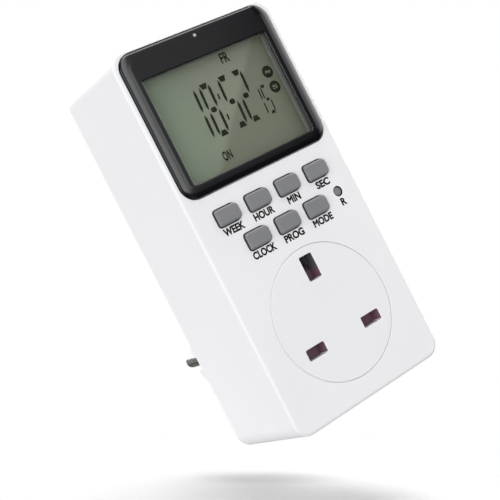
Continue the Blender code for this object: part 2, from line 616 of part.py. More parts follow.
def make_outlet():
    disc = [
        (0.0, FACE_RADIUS - 0.35),
        (0.3, FACE_RADIUS),
        (FRONT_WALL + GAP, FACE_RADIUS),
        (FRONT_WALL + GAP, FACE_FLANGE_RADIUS),
        (FACE_BACK, FACE_FLANGE_RADIUS),
    ]
    face = place("socket_face", turned(disc, count=48), "face_white")
    slots = [
        [(-1.0, wide), (0.0, wide), (SLOT_LEAD, slot), (FACE_BACK + 1.0, slot)]
        for slot, wide in zip(slot_outlines(0.0), slot_outlines(SLOT_LEAD))
    ]
    cut(face, loft(*slots))

    # The shutter is a T. Its windows come level with the slots once it has slid down.
    stem, arm, ramp_top = 3.2, 15.8, EARTH_Z - EARTH_SLOT[1] / 2 + SHUTTER_TRAVEL
    outline = [
        (arm, -12.0), (arm, 6.0), (stem, 6.0), (stem, ramp_top),
        (-stem, ramp_top), (-stem, 6.0), (-arm, 6.0), (-arm, -12.0),
    ]
    shutter = place(
        "safety_shutter", prism(outline, SHUTTER_FRONT, SHUTTER_BACK), "shutter_red", (0.0, 5.4, 0.0)
    )
    windows = [
        rounded(LINE_SLOT[0] + 0.8, LINE_SLOT[1] + 0.5, 0.3, (side * LINE_X, LINE_Z + SHUTTER_TRAVEL), 2)
        for side in (-1, 1)
    ]
    cut(shutter, loft(*[[(SHUTTER_FRONT - 1, hole), (SHUTTER_BACK + 1, hole)] for hole in windows]))
    ramp = [
        (SHUTTER_FRONT - 1.0, 12.2), (SHUTTER_BACK - 0.5, ramp_top + 0.6),
        (SHUTTER_FRONT - 1.0, ramp_top + 0.6),
    ]
    cut(shutter, prism(ramp, -stem - 1.0, stem + 1.0, axis="X"))

    turns, coil, wire = 6, 0.82, 0.2
    rest = SPRING_TOP - SPRING_FOOT - 2 * wire
    steps = turns * 8
    helix = [
        (
            coil * math.cos(2 * math.pi * turns * i / steps),
            5.4 + coil * math.sin(2 * math.pi * turns * i / steps),
            SPRING_FOOT + wire + rest * i / steps,
        )
        for i in range(steps + 1)
    ]
    place("shutter_spring", tube(helix, wire, 5), "steel")

    disc = [(BASE_FRONT, BASE_RADIUS), (BASE_BACK, BASE_RADIUS)]
    base = place("socket_base", turned(disc, count=40), "base_grey")
    for side in (-1, 1):
        ear = box_outline(*sorted((side * 14.0, side * 26.6)), 13.2, 18.8)
        add(base, prism(ear, BASE_FRONT, BASE_FRONT + 2.3))
    foot = box_outline(-3.0, 3.0, SPRING_FOOT - 1.6, SPRING_FOOT - GAP)
    add(base, prism(foot, SHUTTER_FRONT, BASE_FRONT + 1))
    cavities = [
        rounded(9.0, 7.2, 0.5, (LINE_X, LINE_Z), 2),
        rounded(9.0, 7.2, 0.5, (-LINE_X, LINE_Z), 2),
        rounded(7.4, 10.6, 0.5, (0.0, EARTH_Z), 2),
    ]
    tails = [
        box_outline(x - 2.4, x + 2.4, LINE_Z - 0.8, LINE_Z + 0.8) for x in (LINE_X, -LINE_X)
    ]
    tails.append(box_outline(-0.8, 0.8, EARTH_Z - 2.4, EARTH_Z + 2.4))
    cut(base, loft(*[[(BASE_FRONT - 1, hole), (24.8, hole)] for hole in cavities]))
    cut(base, loft(*[[(24.0, hole), (BASE_BACK + 1, hole)] for hole in tails]))
    screws = [circle(SMALL_PILOT, (side * SOCKET_POST_X, SOCKET_POST_Z), 12) for side in (-1, 1)]
    cut(base, loft(*[[(BASE_FRONT - 1, hole), (BASE_FRONT + 4, hole)] for hole in screws]))

    def clip(half, thick=0.6):
        """A contact's outline: two leaves that grip the pin, a web behind them and a tail."""
        near, web, end = 9.0, 24.2, 29.4
        upper = [
            (end, thick / 2), (web, thick / 2), (web, half + thick), (near + 2, half + thick),
            (near, half + thick + 0.5), (near, half + 0.5), (near + 2, half), (web - thick, half),
        ]
        return upper + [(d, -t) for d, t in reversed(upper)]

    for name, x in (("live_contact", LINE_X), ("neutral_contact", -LINE_X)):
        outline = [(d, LINE_Z + t) for d, t in clip(2.1)]
        place(name, prism(outline, x - 2.0, x + 2.0, axis="X"), "brass")
    outline = [(t, d) for d, t in clip(2.1)]
    place("earth_contact", prism(outline, EARTH_Z - 2.0, EARTH_Z + 2.0, axis="Z"), "brass")


def make_power_side():
    mid = (POWER_LOW_Z + POWER_TOP_Z) / 2
    outline = rounded(50.4, POWER_TOP_Z - POWER_LOW_Z, 1.0, (0.0, mid), 2)
    board = place("power_board", prism(outline, POWER_FRONT, POWER_FRONT + BOARD_THICK), "board_green")
    holes = [circle(SMALL_PILOT, (side * COVER_POST_X, COVER_POST_Z), 12) for side in (-1, 1)]
    cut(board, loft(*[[(POWER_FRONT - 1, hole), (POWER_FRONT + 3, hole)] for hole in holes]))

    top = POWER_FRONT - GAP
    centre = (RELAY_X, RELAY_Z)
    outer = [
        (RELAY_FRONT, rounded(RELAY_WIDTH - 1.2, RELAY_HEIGHT - 1.2, 0.6, centre, 2)),
        (RELAY_FRONT + 0.6, rounded(RELAY_WIDTH, RELAY_HEIGHT, 1.0, centre, 2)),
        (top, rounded(RELAY_WIDTH, RELAY_HEIGHT, 1.0, centre, 2)),
        (top, rounded(RELAY_WIDTH - 2, RELAY_HEIGHT - 2, 0.6, centre, 2)),
        (RELAY_FRONT + 1, rounded(RELAY_WIDTH - 2, RELAY_HEIGHT - 2, 0.6, centre, 2)),
    ]
    place("relay_cover", loft(outer), "relay_blue")
    coil = [
        (17.0, 4.6), (17.9, 4.6), (17.9, 3.9), (26.4, 3.9), (26.4, 4.6), (27.3, 4.6),
    ]
    place("relay_coil", turned(coil, (RELAY_X, RELAY_Z - 1.0), 24), "copper")
    arm = rounded(8.0, 11.4, 0.6, (RELAY_X, ARMATURE_HINGE_Z - 5.4), 2)
    place("relay_armature", prism(arm, 15.2, 16.0), "steel", (RELAY_X, 15.6, ARMATURE_HINGE_Z))

    film = [
        (14.0, rounded(16.0, 7.0, 1.2, (-12.0, 46.0), 3)),
        (14.8, rounded(17.6, 8.6, 1.6, (-12.0, 46.0), 3)),
        (top, rounded(17.6, 8.6, 1.6, (-12.0, 46.0), 3)),
    ]
    place("film_capacitor", loft(film), "film_yellow")
    can = [(15.6, 4.2), (15.9, 4.8), (27.2, 4.8), (27.5, 4.3), (27.9, 4.8), (top, 4.8)]
    place("smoothing_capacitor", turned(can, (14.0, 60.0), 24), "black_plastic")
    disc = [(48.0, 5.0), (48.6, 5.5), (51.4, 5.5), (52.0, 5.0)]
    place("varistor", turned(disc, (11.0, 22.6), 20, axis="Z"), "relay_blue")

    # The ribbon hangs slack between the two boards.
    near, far = BOARD_FRONT + BOARD_THICK + GAP, top
    steps = 8
    ribbon = []
    for i in range(steps + 1):
        t = i / steps
        z = 79.0 - 1.2 * math.sin(math.pi * t)
        ribbon.append((near + (far - near) * t, box_outline(-2.0, 10.0, z - 0.45, z + 0.45)))
    place("board_ribbon", loft(ribbon), "rubber_grey")


def make_wires():
    pin_end = BODY_DEPTH + BOSS_DEPTH - 16.0 - GAP
    pad = POWER_FRONT - GAP - 0.3
    pin_x = PIN_SPACING / 2
    routes = {
        "live_wire": (
            [(pin_x, pin_end, 0.0), (pin_x, 40.0, 0.5), (9.5, 34.0, 4.0), (9.5, 30.4, 12.0),
             (9.5, 29.4, 19.0), (9.5, 25.6, 24.0), (9.2, 23.6, 28.0), (9.0, 25.4, 31.0),
             (9.0, pad, 31.0)],
            1.1, "wire_brown",
        ),
        "load_wire": (
            [(15.6, pad, 30.4), (15.6, 25.8, 30.4), (15.6, 24.2, 27.6), (15.8, 25.6, 24.0),
             (16.6, 29.4, 19.0), (16.6, 30.6, 12.0), (15.4, 30.6, 0.0), (LINE_X + 1.2, 30.9, -6.0),
             (LINE_X, 30.9, LINE_Z)],
            0.9, "wire_red",
        ),
        "neutral_wire": (
            [(-pin_x, pin_end, 0.0), (-pin_x, 40.0, -0.5), (-9.8, 35.0, -3.0), (-10.6, 32.0, -6.2),
             (-LINE_X, 30.9, LINE_Z)],
            1.1, "wire_blue",
        ),
        "neutral_feed_wire": (
            [(-13.6, pad, 31.0), (-13.6, 25.8, 31.0), (-13.6, 24.2, 27.8), (-13.8, 25.8, 24.0),
             (-14.4, 29.6, 19.0), (-14.8, 30.6, 10.0), (-14.6, 30.6, 0.0), (-13.8, 30.2, -6.4)],
            0.7, "wire_blue",
        ),
        "earth_wire": (
            [(0.0, 43.9, 9.5), (0.0, 42.0, 4.0), (0.0, 37.0, 3.0), (0.0, 33.0, 6.0), (0.0, 30.9, 10.6),
             (0.0, 30.8, EARTH_Z)],
            1.1, "wire_green",
        ),
    }
    for name, (points, radius, colour) in routes.items():
        place(name, tube(smooth_route(points), radius), colour)


def screw(name, centre, head_far, direction, head, shank, length):
    """A pan-head screw whose shank runs from the head in the given direction along Y."""
    radius, height = head
    profile = [
        (0.0, radius * 0.55), (0.12 * height, radius * 0.85), (0.45 * height, radius),
        (height, radius), (height, shank), (height + length - 0.8, shank),
        (height + length, shank * 0.4),
    ]
    turned_profile = [(head_far + direction * along, r) for along, r in profile]
    place(name, turned(turned_profile, centre, 12), "steel")


def make_screws():
    head_seat = WELL_FLOOR + GAP
    corners = ((-1, SCREW_TOP_Z, "top_left"), (1, SCREW_TOP_Z, "top_right"),
               (-1, SCREW_LOW_Z, "bottom_left"), (1, SCREW_LOW_Z, "bottom_right"))
    for side, z, where in corners:
        screw(f"case_screw_{where}", (side * SCREW_X, z), head_seat + 1.8, -1, (2.7, 1.8), 1.35, 11.0)
    for side, where in ((-1, "left"), (1, "right")):
        behind = BOARD_FRONT + BOARD_THICK + GAP
        screw(f"display_board_screw_{where}", (side * BOARD_POST_X, BOARD_POST_Z), behind + 1.4, -1,
              (1.9, 1.4), SMALL_SHANK, 8.0)
        ear = BASE_FRONT + 2.3 + GAP
        screw(f"socket_screw_{where}", (side * SOCKET_POST_X, SOCKET_POST_Z), ear + 1.4, -1,
              (1.9, 1.4), SMALL_SHANK, 6.4)
        front = POWER_FRONT - GAP
        screw(f"power_board_screw_{where}", (side * COVER_POST_X, COVER_POST_Z), front - 1.4, 1,
              (1.9, 1.4), SMALL_SHANK, 4.6)


def main():
    clear_scene()
    make_front_case()
    make_rear_cover()
    make_plug()
    make_display()
    make_keys()
    make_outlet()
    make_power_side()
    make_wires()
    make_screws()


main()
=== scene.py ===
import json
import math

import bmesh
import bpy
from mathutils import Matrix, Vector

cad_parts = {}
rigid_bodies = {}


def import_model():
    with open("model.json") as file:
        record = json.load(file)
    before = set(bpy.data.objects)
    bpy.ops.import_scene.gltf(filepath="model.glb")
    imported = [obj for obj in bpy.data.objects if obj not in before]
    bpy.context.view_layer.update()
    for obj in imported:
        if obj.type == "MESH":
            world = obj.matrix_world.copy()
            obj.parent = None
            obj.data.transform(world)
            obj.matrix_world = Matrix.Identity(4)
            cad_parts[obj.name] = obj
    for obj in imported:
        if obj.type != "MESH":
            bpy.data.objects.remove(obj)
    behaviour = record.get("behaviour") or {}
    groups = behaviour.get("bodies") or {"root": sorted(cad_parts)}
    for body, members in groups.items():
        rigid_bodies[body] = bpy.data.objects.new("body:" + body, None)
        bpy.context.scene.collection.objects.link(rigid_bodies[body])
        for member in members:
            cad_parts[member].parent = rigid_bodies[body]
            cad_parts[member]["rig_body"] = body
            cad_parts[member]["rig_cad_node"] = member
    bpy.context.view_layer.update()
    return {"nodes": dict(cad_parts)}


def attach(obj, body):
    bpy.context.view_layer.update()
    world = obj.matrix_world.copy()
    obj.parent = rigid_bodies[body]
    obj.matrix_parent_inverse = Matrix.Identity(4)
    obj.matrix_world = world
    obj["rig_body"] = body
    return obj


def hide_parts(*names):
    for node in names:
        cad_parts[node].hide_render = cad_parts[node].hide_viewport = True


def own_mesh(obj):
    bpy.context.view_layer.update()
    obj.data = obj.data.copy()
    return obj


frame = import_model()

mm = 0.001
caseFront = -61.0  # Y of the case's front plane in millimetres; depths count from it


def at(x, depth, z):  # millimetres to a point in metres
    return Vector((x, caseFront + depth, z)) * mm


def spot(point):  # a point in metres as x, depth and z in millimetres
    return point.x / mm, point.y / mm - caseFront, point.z / mm


def takeUp(piece):
    bpy.ops.object.select_all(action="DESELECT")
    piece.select_set(True)
    bpy.context.view_layer.objects.active = piece


def settle(piece, name):  # its place goes into its mesh
    takeUp(piece)
    bpy.ops.object.transform_apply(location=True, rotation=True, scale=True)
    piece.name = piece.data.name = name
    return piece


def pick(piece, kind, test):
    takeUp(piece)
    bpy.ops.object.mode_set(mode="EDIT")
    bpy.ops.mesh.select_mode(type=kind)
    bpy.ops.mesh.select_all(action="DESELECT")
    mesh = bmesh.from_edit_mesh(piece.data)
    if kind == "FACE":
        chosen = [f for f in mesh.faces if test(spot(f.calc_center_median()), f.normal)]
    else:
        chosen = [e for e in mesh.edges if test(*(spot(v.co) for v in e.verts))]
    for part in chosen:
        part.select_set(True)
    bmesh.update_edit_mesh(piece.data)
    return len(chosen)


def putDown():
    bpy.ops.object.mode_set(mode="OBJECT")


def near(a, b):
    return abs(a - b) < 0.02


def roundEdges(piece, width, steps, test):
    pick(piece, "EDGE", test)
    bpy.ops.mesh.bevel(offset=width * mm, segments=steps, affect="EDGES")
    putDown()


def roundCorners(piece, width, steps, test=lambda x, z: True):  # the edges that run from front to back
    def along(a, b):
        return near(a[0], b[0]) and near(a[2], b[2]) and not near(a[1], b[1]) and test(a[0], a[2])
    roundEdges(piece, width, steps, along)


def roundRim(piece, depth, width, steps):  # the outline of the flat face at a depth
    roundEdges(piece, width, steps, lambda a, b: near(a[1], depth) and near(b[1], depth))


def block(name, x, depth, z):
    bpy.ops.object.select_all(action="DESELECT")
    centre = [(low + high) / 2 for low, high in (x, depth, z)]
    bpy.ops.mesh.primitive_cube_add(size=1, location=at(*centre))
    piece = bpy.context.object
    piece.scale = [(high - low) * mm for low, high in (x, depth, z)]
    return settle(piece, name)


def roundBar(name, centre, radius, depth, sides):
    bpy.ops.object.select_all(action="DESELECT")
    bpy.ops.mesh.primitive_cylinder_add(
        vertices=sides, radius=radius * mm, depth=(depth[1] - depth[0]) * mm,
        location=at(centre[0], sum(depth) / 2, centre[1]), rotation=(math.pi / 2, 0, 0))
    return settle(bpy.context.object, name)


def stepFace(piece, depth, centre, stretch, length):  # a collar, neck or stem grown from a flat face
    way = 1 if length > 0 else -1
    pick(piece, "FACE", lambda c, n: near(c[1], depth) and n.y * way > 0.9)
    bpy.ops.mesh.extrude_region_move()
    bpy.ops.transform.resize(value=(stretch[0], 1, stretch[1]),
                             center_override=at(centre[0], depth, centre[1]))
    bpy.ops.mesh.extrude_region_move(TRANSFORM_OT_translate={"value": (0, length * mm, 0)})
    putDown()
    return depth + length


def finishModifier(piece, kind, **settings):
    takeUp(piece)
    bpy.ops.object.modifier_add(type=kind)
    modifier = piece.modifiers[-1]
    for name, value in settings.items():
        setattr(modifier, name, value)
    bpy.ops.object.modifier_apply(modifier=modifier.name)


def carve(piece, *cutters):
    for cutter in cutters:
        finishModifier(piece, "BOOLEAN", operation="DIFFERENCE", solver="EXACT", object=cutter)
        bpy.data.objects.remove(cutter)


def quarterRound(wide, high, steps):  # the steps of a rounded edge, each as a way in and a way along
    turns = [math.pi / 2 * step / steps for step in range(steps + 1)]
    return [(wide * (math.cos(a) - math.cos(b)), high * (math.sin(b) - math.sin(a)))
            for a, b in zip(turns, turns[1:])]


def openingCutter(x, z, corner, front, rim, steps=3):  # its flared mouth gives the opening a rounded rim
    piece = block("openingCutter", (x[0] - rim, x[1] + rim), (front - 2, front), (z[0] - rim, z[1] + rim))
    roundCorners(piece, corner + rim, 5)
    depth = front
    for along, inward in reversed(quarterRound(rim, rim, steps)):
        pick(piece, "FACE", lambda c, n: near(c[1], depth) and n.y > 0.9)
        bpy.ops.mesh.inset(thickness=inward * mm, depth=along * mm)
        putDown()
        depth += along
    stepFace(piece, depth, (0, 0), (1, 1), 8)
    return piece


def smoothOff(piece, angle=35):
    takeUp(piece)
    bpy.ops.object.shade_smooth_by_angle(angle=math.radians(angle))
    finishModifier(piece, "WEIGHTED_NORMAL", keep_sharp=True)


def copyPiece(piece, name, x=0.0, z=0.0):
    takeUp(piece)
    bpy.ops.object.duplicate()
    copy = bpy.context.object
    copy.location = Vector((x, 0, z)) * mm
    return settle(copy, name)


def joinPieces(pieces, name):
    bpy.ops.object.select_all(action="DESELECT")
    for piece in pieces:
        piece.select_set(True)
    bpy.context.view_layer.objects.active = pieces[0]
    bpy.ops.object.join()
    return settle(bpy.context.object, name)


def softened(node, name, width, steps, test=lambda a, b: True):  # a CAD node's copy with rounded edges
    takeUp(frame["nodes"][node])
    bpy.ops.object.duplicate()
    piece = bpy.context.object
    piece.parent = None
    piece.matrix_world = Matrix.Identity(4)
    del piece["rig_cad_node"], piece["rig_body"]
    piece.name = piece.data.name = name
    bpy.ops.mesh.customdata_custom_splitnormals_clear()
    bpy.ops.object.mode_set(mode="EDIT")
    bpy.ops.mesh.select_all(action="SELECT")
    bpy.ops.mesh.remove_doubles(threshold=0.001 * mm)
    bpy.ops.mesh.dissolve_limited(angle_limit=math.radians(0.3))
    mesh = bmesh.from_edit_mesh(piece.data)
    ends = [tuple(spot(v.co) for v in e.verts) for e in mesh.edges
            if len(e.link_faces) == 2 and e.calc_face_angle() > math.radians(40)]
    putDown()
    wanted = {pair for pair in ends if test(*pair)}
    roundEdges(piece, width, steps, lambda a, b: (a, b) in wanted)
    smoothOff(piece)
    return piece


def makeEffect(name, inputs, outputs):
    group = bpy.data.node_groups.new(name, "ShaderNodeTree")
    kinds = {"colour": "NodeSocketColor", "number": "NodeSocketFloat", "vector": "NodeSocketVector"}
    for label, kind, value in inputs:
        socket = group.interface.new_socket(label, in_out="INPUT", socket_type=kinds[kind])
        socket.default_value = value
    for label, kind in outputs:
        group.interface.new_socket(label, in_out="OUTPUT", socket_type=kinds[kind])
    return group, group.nodes.new("NodeGroupInput"), group.nodes.new("NodeGroupOutput")


def feed(tree, socket, value):  # a link from another node, or else a plain value
    if isinstance(value, bpy.types.NodeSocket):
        tree.links.new(value, socket)
    else:
        socket.default_value = value


def addNode(tree, kind, settings=None, **sockets):
    node = tree.nodes.new("ShaderNode" + kind)
    for name, value in (settings or {}).items():
        setattr(node, name, value)
    for name, value in sockets.items():
        feed(tree, node.inputs[name.replace("_", " ")], value)
    return node


def calculate(tree, kind, operation, *values):
    node = addNode(tree, kind, {"operation": operation})
    for socket, value in zip(node.inputs, values):
        feed(tree, socket, value)
    return node


def mixColours(tree, share, first, second):
    node = addNode(tree, "Mix", {"data_type": "RGBA"})
    for index, value in ((0, share), (6, first), (7, second)):
        feed(tree, node.inputs[index], value)
    return node.outputs[2]


def mixShaders(tree, share, first, second):
    node = addNode(tree, "MixShader")
    for socket, value in zip(node.inputs, (share, first, second)):
        feed(tree, socket, value)
    return node.outputs[0]


def spread(tree, value, low, high, fromLow=0.3, fromHigh=0.7):
    return addNode(tree, "MapRange", Value=value, From_Min=fromLow, From_Max=fromHigh,
                   To_Min=low, To_Max=high).outputs["Result"]


def makeMouldedSkin():  # the slight mottling and spark-eroded grain of moulded plastic
    group, given, made = makeEffect("mouldedSkin", [
        ("Colour", "colour", (1, 1, 1, 1)), ("Deep Colour", "colour", (1, 1, 1, 1)),
        ("Grain Scale", "number", 3000.0), ("Gloss", "number", 0.4), ("Gloss Change", "number", 0.05),
    ], [("Colour", "colour"), ("Roughness", "number"), ("Height", "number")])
    place = addNode(group, "TexCoord").outputs["Object"]
    cloud = addNode(group, "TexNoise", Vector=place, Scale=55.0, Detail=3.0, Roughness=0.5).outputs["Fac"]
    grain = addNode(group, "TexNoise", Vector=place, Scale=given.outputs["Grain Scale"], Detail=2.0,
                    Roughness=0.6).outputs["Fac"]
    pits = addNode(group, "TexVoronoi", Vector=place, Scale=given.outputs["Grain Scale"]).outputs["Distance"]
    drift = spread(group, cloud, 0.0, 1.0)
    colour = mixColours(group, drift, given.outputs["Colour"], given.outputs["Deep Colour"])
    change = calculate(group, "Math", "MULTIPLY_ADD", drift, given.outputs["Gloss Change"],
                       given.outputs["Gloss"])
    height = calculate(group, "Math", "MULTIPLY", grain, pits)
    group.links.new(colour, made.inputs["Colour"])
    group.links.new(change.outputs[0], made.inputs["Roughness"])
    group.links.new(height.outputs[0], made.inputs["Height"])
    return group


def makeDrawnMetal():  # fine streaks along one axis with a little tarnish
    group, given, made = makeEffect("drawnMetal", [
        ("Colour", "colour", (1, 1, 1, 1)), ("Tarnish", "colour", (1, 1, 1, 1)),
        ("Stretch", "vector", (1, 1, 1)), ("Gloss", "number", 0.3),
    ], [("Colour", "colour"), ("Roughness", "number"), ("Height", "number")])
    place = addNode(group, "TexCoord").outputs["Object"]
    pulled = addNode(group, "Mapping", Vector=place, Scale=given.outputs["Stretch"]).outputs["Vector"]
    streaks = addNode(group, "TexNoise", Vector=pulled, Scale=2500.0, Detail=2.0).outputs["Fac"]
    cloud = addNode(group, "TexNoise", Vector=place, Scale=180.0, Detail=4.0).outputs["Fac"]
    colour = mixColours(group, spread(group, cloud, 0.0, 1.0, 0.45, 0.75),
                        given.outputs["Colour"], given.outputs["Tarnish"])
    change = calculate(group, "Math", "MULTIPLY_ADD", streaks, 0.16, given.outputs["Gloss"])
    group.links.new(colour, made.inputs["Colour"])
    group.links.new(change.outputs[0], made.inputs["Roughness"])
    group.links.new(streaks, made.inputs["Height"])
    return group


def makeBoardPrint():  # copper tracks and pads under a solder mask
    group, given, made = makeEffect("boardPrint", [
        ("Mask", "colour", (0, 0.1, 0.05, 1)), ("Track", "colour", (0.05, 0.3, 0.15, 1)),
        ("Pitch", "number", 500.0),
    ], [("Colour", "colour"), ("Height", "number")])
    place = addNode(group, "TexCoord").outputs["Object"]
    flat = addNode(group, "Mapping", Vector=place, Scale=(1.0, 0.0, 1.0)).outputs["Vector"]
    tracks = addNode(group, "TexVoronoi", {"distance": "MANHATTAN", "feature": "F1"}, Vector=flat,
                     Scale=given.outputs["Pitch"], Randomness=0.55).outputs["Distance"]
    lines = calculate(group, "Math", "PINGPONG", tracks, 0.22)
    mask = spread(group, lines.outputs[0], 0.0, 1.0, 0.11, 0.13)
    colour = mixColours(group, mask, given.outputs["Mask"], given.outputs["Track"])
    group.links.new(colour, made.inputs["Colour"])
    group.links.new(mask, made.inputs["Height"])
    return group


def makeWoundLines():  # the close turns of a winding
    group, given, made = makeEffect("woundLines", [
        ("Colour", "colour", (1, 1, 1, 1)), ("Groove", "colour", (0, 0, 0, 1)), ("Turns", "number", 3000.0),
    ], [("Colour", "colour"), ("Height", "number")])
    place = addNode(group, "TexCoord").outputs["Object"]
    waves = addNode(group, "TexWave", {"bands_direction": "Y"}, Vector=place, Scale=given.outputs["Turns"],
                    Distortion=0.3).outputs["Fac"]
    colour = mixColours(group, waves, given.outputs["Groove"], given.outputs["Colour"])
    group.links.new(colour, made.inputs["Colour"])
    group.links.new(waves, made.inputs["Height"])
    return group


effects = {
    "moulded": makeMouldedSkin(),
    "drawn": makeDrawnMetal(),
    "board": makeBoardPrint(),
    "wound": makeWoundLines(),
}
print("effects ready")

finishes = {
    "case_white": {"colour": (0.862, 0.863, 0.881), "deep": (0.843, 0.845, 0.863), "gloss": 0.42,
                   "grain": 2600.0, "bump": 0.03},
    "face_white": {"colour": (0.850, 0.849, 0.873), "deep": (0.836, 0.835, 0.860), "gloss": 0.40,
                   "grain": 2600.0, "bump": 0.02},
    "bezel_black": {"colour": (0.0045, 0.0048, 0.0058), "deep": (0.0038, 0.004, 0.005), "gloss": 0.07,
                    "change": 0.03, "grain": 900.0, "bump": 0.004},
    "key_grey": {"colour": (0.196, 0.198, 0.214), "deep": (0.186, 0.189, 0.204), "gloss": 0.5,
                 "grain": 3500.0, "bump": 0.05},
    # painted shade: near black for the keys' side walls, standing for the shadow beside each key
    "paintedKeySideShade": {"colour": (0.050, 0.050, 0.055), "deep": (0.045, 0.045, 0.050), "gloss": 0.6,
                 "grain": 3500.0, "bump": 0.05, "shine": 0.2},
    # painted shade: pinkish grey for the sloping lip under each slot, which is white plastic
    "lipPink": {"colour": (0.60, 0.50, 0.555), "deep": (0.58, 0.48, 0.535), "gloss": 0.5,
                 "grain": 2600.0, "bump": 0.02},
    "reset_grey": {"colour": (0.19, 0.193, 0.20), "deep": (0.18, 0.183, 0.19), "gloss": 0.5,
                   "grain": 3500.0, "bump": 0.05},
    "mask_grey": {"colour": (0.175, 0.178, 0.170), "deep": (0.165, 0.168, 0.160), "gloss": 0.5,
                  "grain": 3500.0, "bump": 0.04},
    "rubber_grey": {"colour": (0.30, 0.31, 0.33), "deep": (0.26, 0.27, 0.29), "gloss": 0.8,
                    "grain": 4000.0, "bump": 0.1},
    "base_grey": {"colour": (0.55, 0.56, 0.58), "deep": (0.50, 0.51, 0.53), "gloss": 0.5,
                  "grain": 2500.0, "bump": 0.08},
    "black_plastic": {"colour": (0.020, 0.020, 0.022), "deep": (0.030, 0.030, 0.031), "gloss": 0.45,
                      "grain": 3000.0, "bump": 0.08},
    "relay_blue": {"colour": (0.030, 0.100, 0.380), "deep": (0.024, 0.085, 0.330), "gloss": 0.32,
                   "grain": 2500.0, "bump": 0.04},
    "film_yellow": {"colour": (0.750, 0.520, 0.060), "deep": (0.700, 0.470, 0.050), "gloss": 0.38,
                    "grain": 2500.0, "bump": 0.05},
    "wire_brown": {"colour": (0.170, 0.070, 0.030), "deep": (0.140, 0.055, 0.025), "gloss": 0.45,
                   "grain": 3000.0, "bump": 0.05},
    "wire_red": {"colour": (0.450, 0.030, 0.030), "deep": (0.380, 0.025, 0.025), "gloss": 0.45,
                 "grain": 3000.0, "bump": 0.05},
    "wire_blue": {"colour": (0.030, 0.130, 0.450), "deep": (0.025, 0.110, 0.380), "gloss": 0.45,
                  "grain": 3000.0, "bump": 0.05},
    "wire_green": {"colour": (0.120, 0.400, 0.050), "deep": (0.100, 0.340, 0.040), "gloss": 0.45,
                   "grain": 3000.0, "bump": 0.05},
    "inkBlack": {"colour": (0.012, 0.012, 0.013), "deep": (0.018, 0.018, 0.019), "gloss": 0.5,
                  "grain": 6000.0, "bump": 0.05, "shine": 0.06},
    "lcdBlack": {"colour": (0.010, 0.012, 0.006), "deep": (0.016, 0.018, 0.008), "gloss": 0.5,
                  "grain": 6000.0, "bump": 0.02, "shine": 0.04},
    # painted shade: black that stands for the shadow in the gaps round the keys
    "paintedGapShade": {"colour": (0.012, 0.012, 0.013), "deep": (0.010, 0.010, 0.011), "gloss": 0.7,
                  "grain": 3000.0, "bump": 0.02, "shine": 0.1},
}


def startMaterial(name):
    material = bpy.data.materials.new(name)
    material.use_nodes = True
    tree = material.node_tree
    return material, tree, tree.nodes["Principled BSDF"]


def placeEffect(tree, effect, **values):
    node = tree.nodes.new("ShaderNodeGroup")
    node.node_tree = effects[effect]
    for name, value in values.items():
        node.inputs[name.replace("_", " ")].default_value = value
    return node


def addBump(tree, shader, height, strength, distance=0.1):
    bump = addNode(tree, "Bump", Height=height, Strength=strength, Distance=distance * mm)
    tree.links.new(bump.outputs["Normal"], shader.inputs["Normal"])


def plasticMaterial(name, values):
    material, tree, shader = startMaterial(name)
    skin = placeEffect(tree, "moulded", Colour=(*values["colour"], 1), Deep_Colour=(*values["deep"], 1),
                       Grain_Scale=values["grain"], Gloss=values["gloss"],
                       Gloss_Change=values.get("change", 0.06))
    tree.links.new(skin.outputs["Colour"], shader.inputs["Base Color"])
    tree.links.new(skin.outputs["Roughness"], shader.inputs["Roughness"])
    shader.inputs["Specular IOR Level"].default_value = values.get("shine", 0.5)
    addBump(tree, shader, skin.outputs["Height"], values["bump"])
    return material


materials = {name: plasticMaterial(name, values) for name, values in finishes.items()}

metals = {
    "nickel": {"colour": (0.66, 0.64, 0.60), "tarnish": (0.50, 0.47, 0.42), "gloss": 0.20,
               "stretch": (1, 0.05, 1)},
    "contact_brass": {"colour": (0.80, 0.62, 0.30), "tarnish": (0.55, 0.38, 0.18), "gloss": 0.25,
                      "stretch": (1, 0.05, 1)},
    "screw_steel": {"colour": (0.62, 0.63, 0.65), "tarnish": (0.48, 0.48, 0.49), "gloss": 0.25,
                    "stretch": (1, 1, 1)},
}


def metalMaterial(name, values):
    material, tree, shader = startMaterial(name)
    skin = placeEffect(tree, "drawn", Colour=(*values["colour"], 1), Tarnish=(*values["tarnish"], 1),
                       Stretch=values["stretch"], Gloss=values["gloss"])
    tree.links.new(skin.outputs["Colour"], shader.inputs["Base Color"])
    tree.links.new(skin.outputs["Roughness"], shader.inputs["Roughness"])
    shader.inputs["Metallic"].default_value = 1.0
    addBump(tree, shader, skin.outputs["Height"], 0.06)
    return material


materials.update({name: metalMaterial(name, values) for name, values in metals.items()})


def boardMaterial():
    material, tree, shader = startMaterial("board_green")
    skin = placeEffect(tree, "board", Mask=(0.012, 0.12, 0.055, 1), Track=(0.035, 0.24, 0.12, 1), Pitch=260.0)
    tree.links.new(skin.outputs["Colour"], shader.inputs["Base Color"])
    shader.inputs["Roughness"].default_value = 0.3
    addBump(tree, shader, skin.outputs["Height"], 0.4)
    return material


def copperMaterial():
    material, tree, shader = startMaterial("copper")
    skin = placeEffect(tree, "wound", Colour=(0.72, 0.33, 0.16, 1), Groove=(0.20, 0.06, 0.03, 1), Turns=1400.0)
    tree.links.new(skin.outputs["Colour"], shader.inputs["Base Color"])
    shader.inputs["Metallic"].default_value = 1.0
    shader.inputs["Roughness"].default_value = 0.32
    addBump(tree, shader, skin.outputs["Height"], 0.5)
    return material


# painted shade: the dark colour is painted over the shutter above the edge under the earth slot
shutter = {"dark": (0.10, 0.092, 0.10), "maroon": (0.21, 0.105, 0.155),
           "earthEdge": 14.6, "shadeEdgeSoft": 2.0}


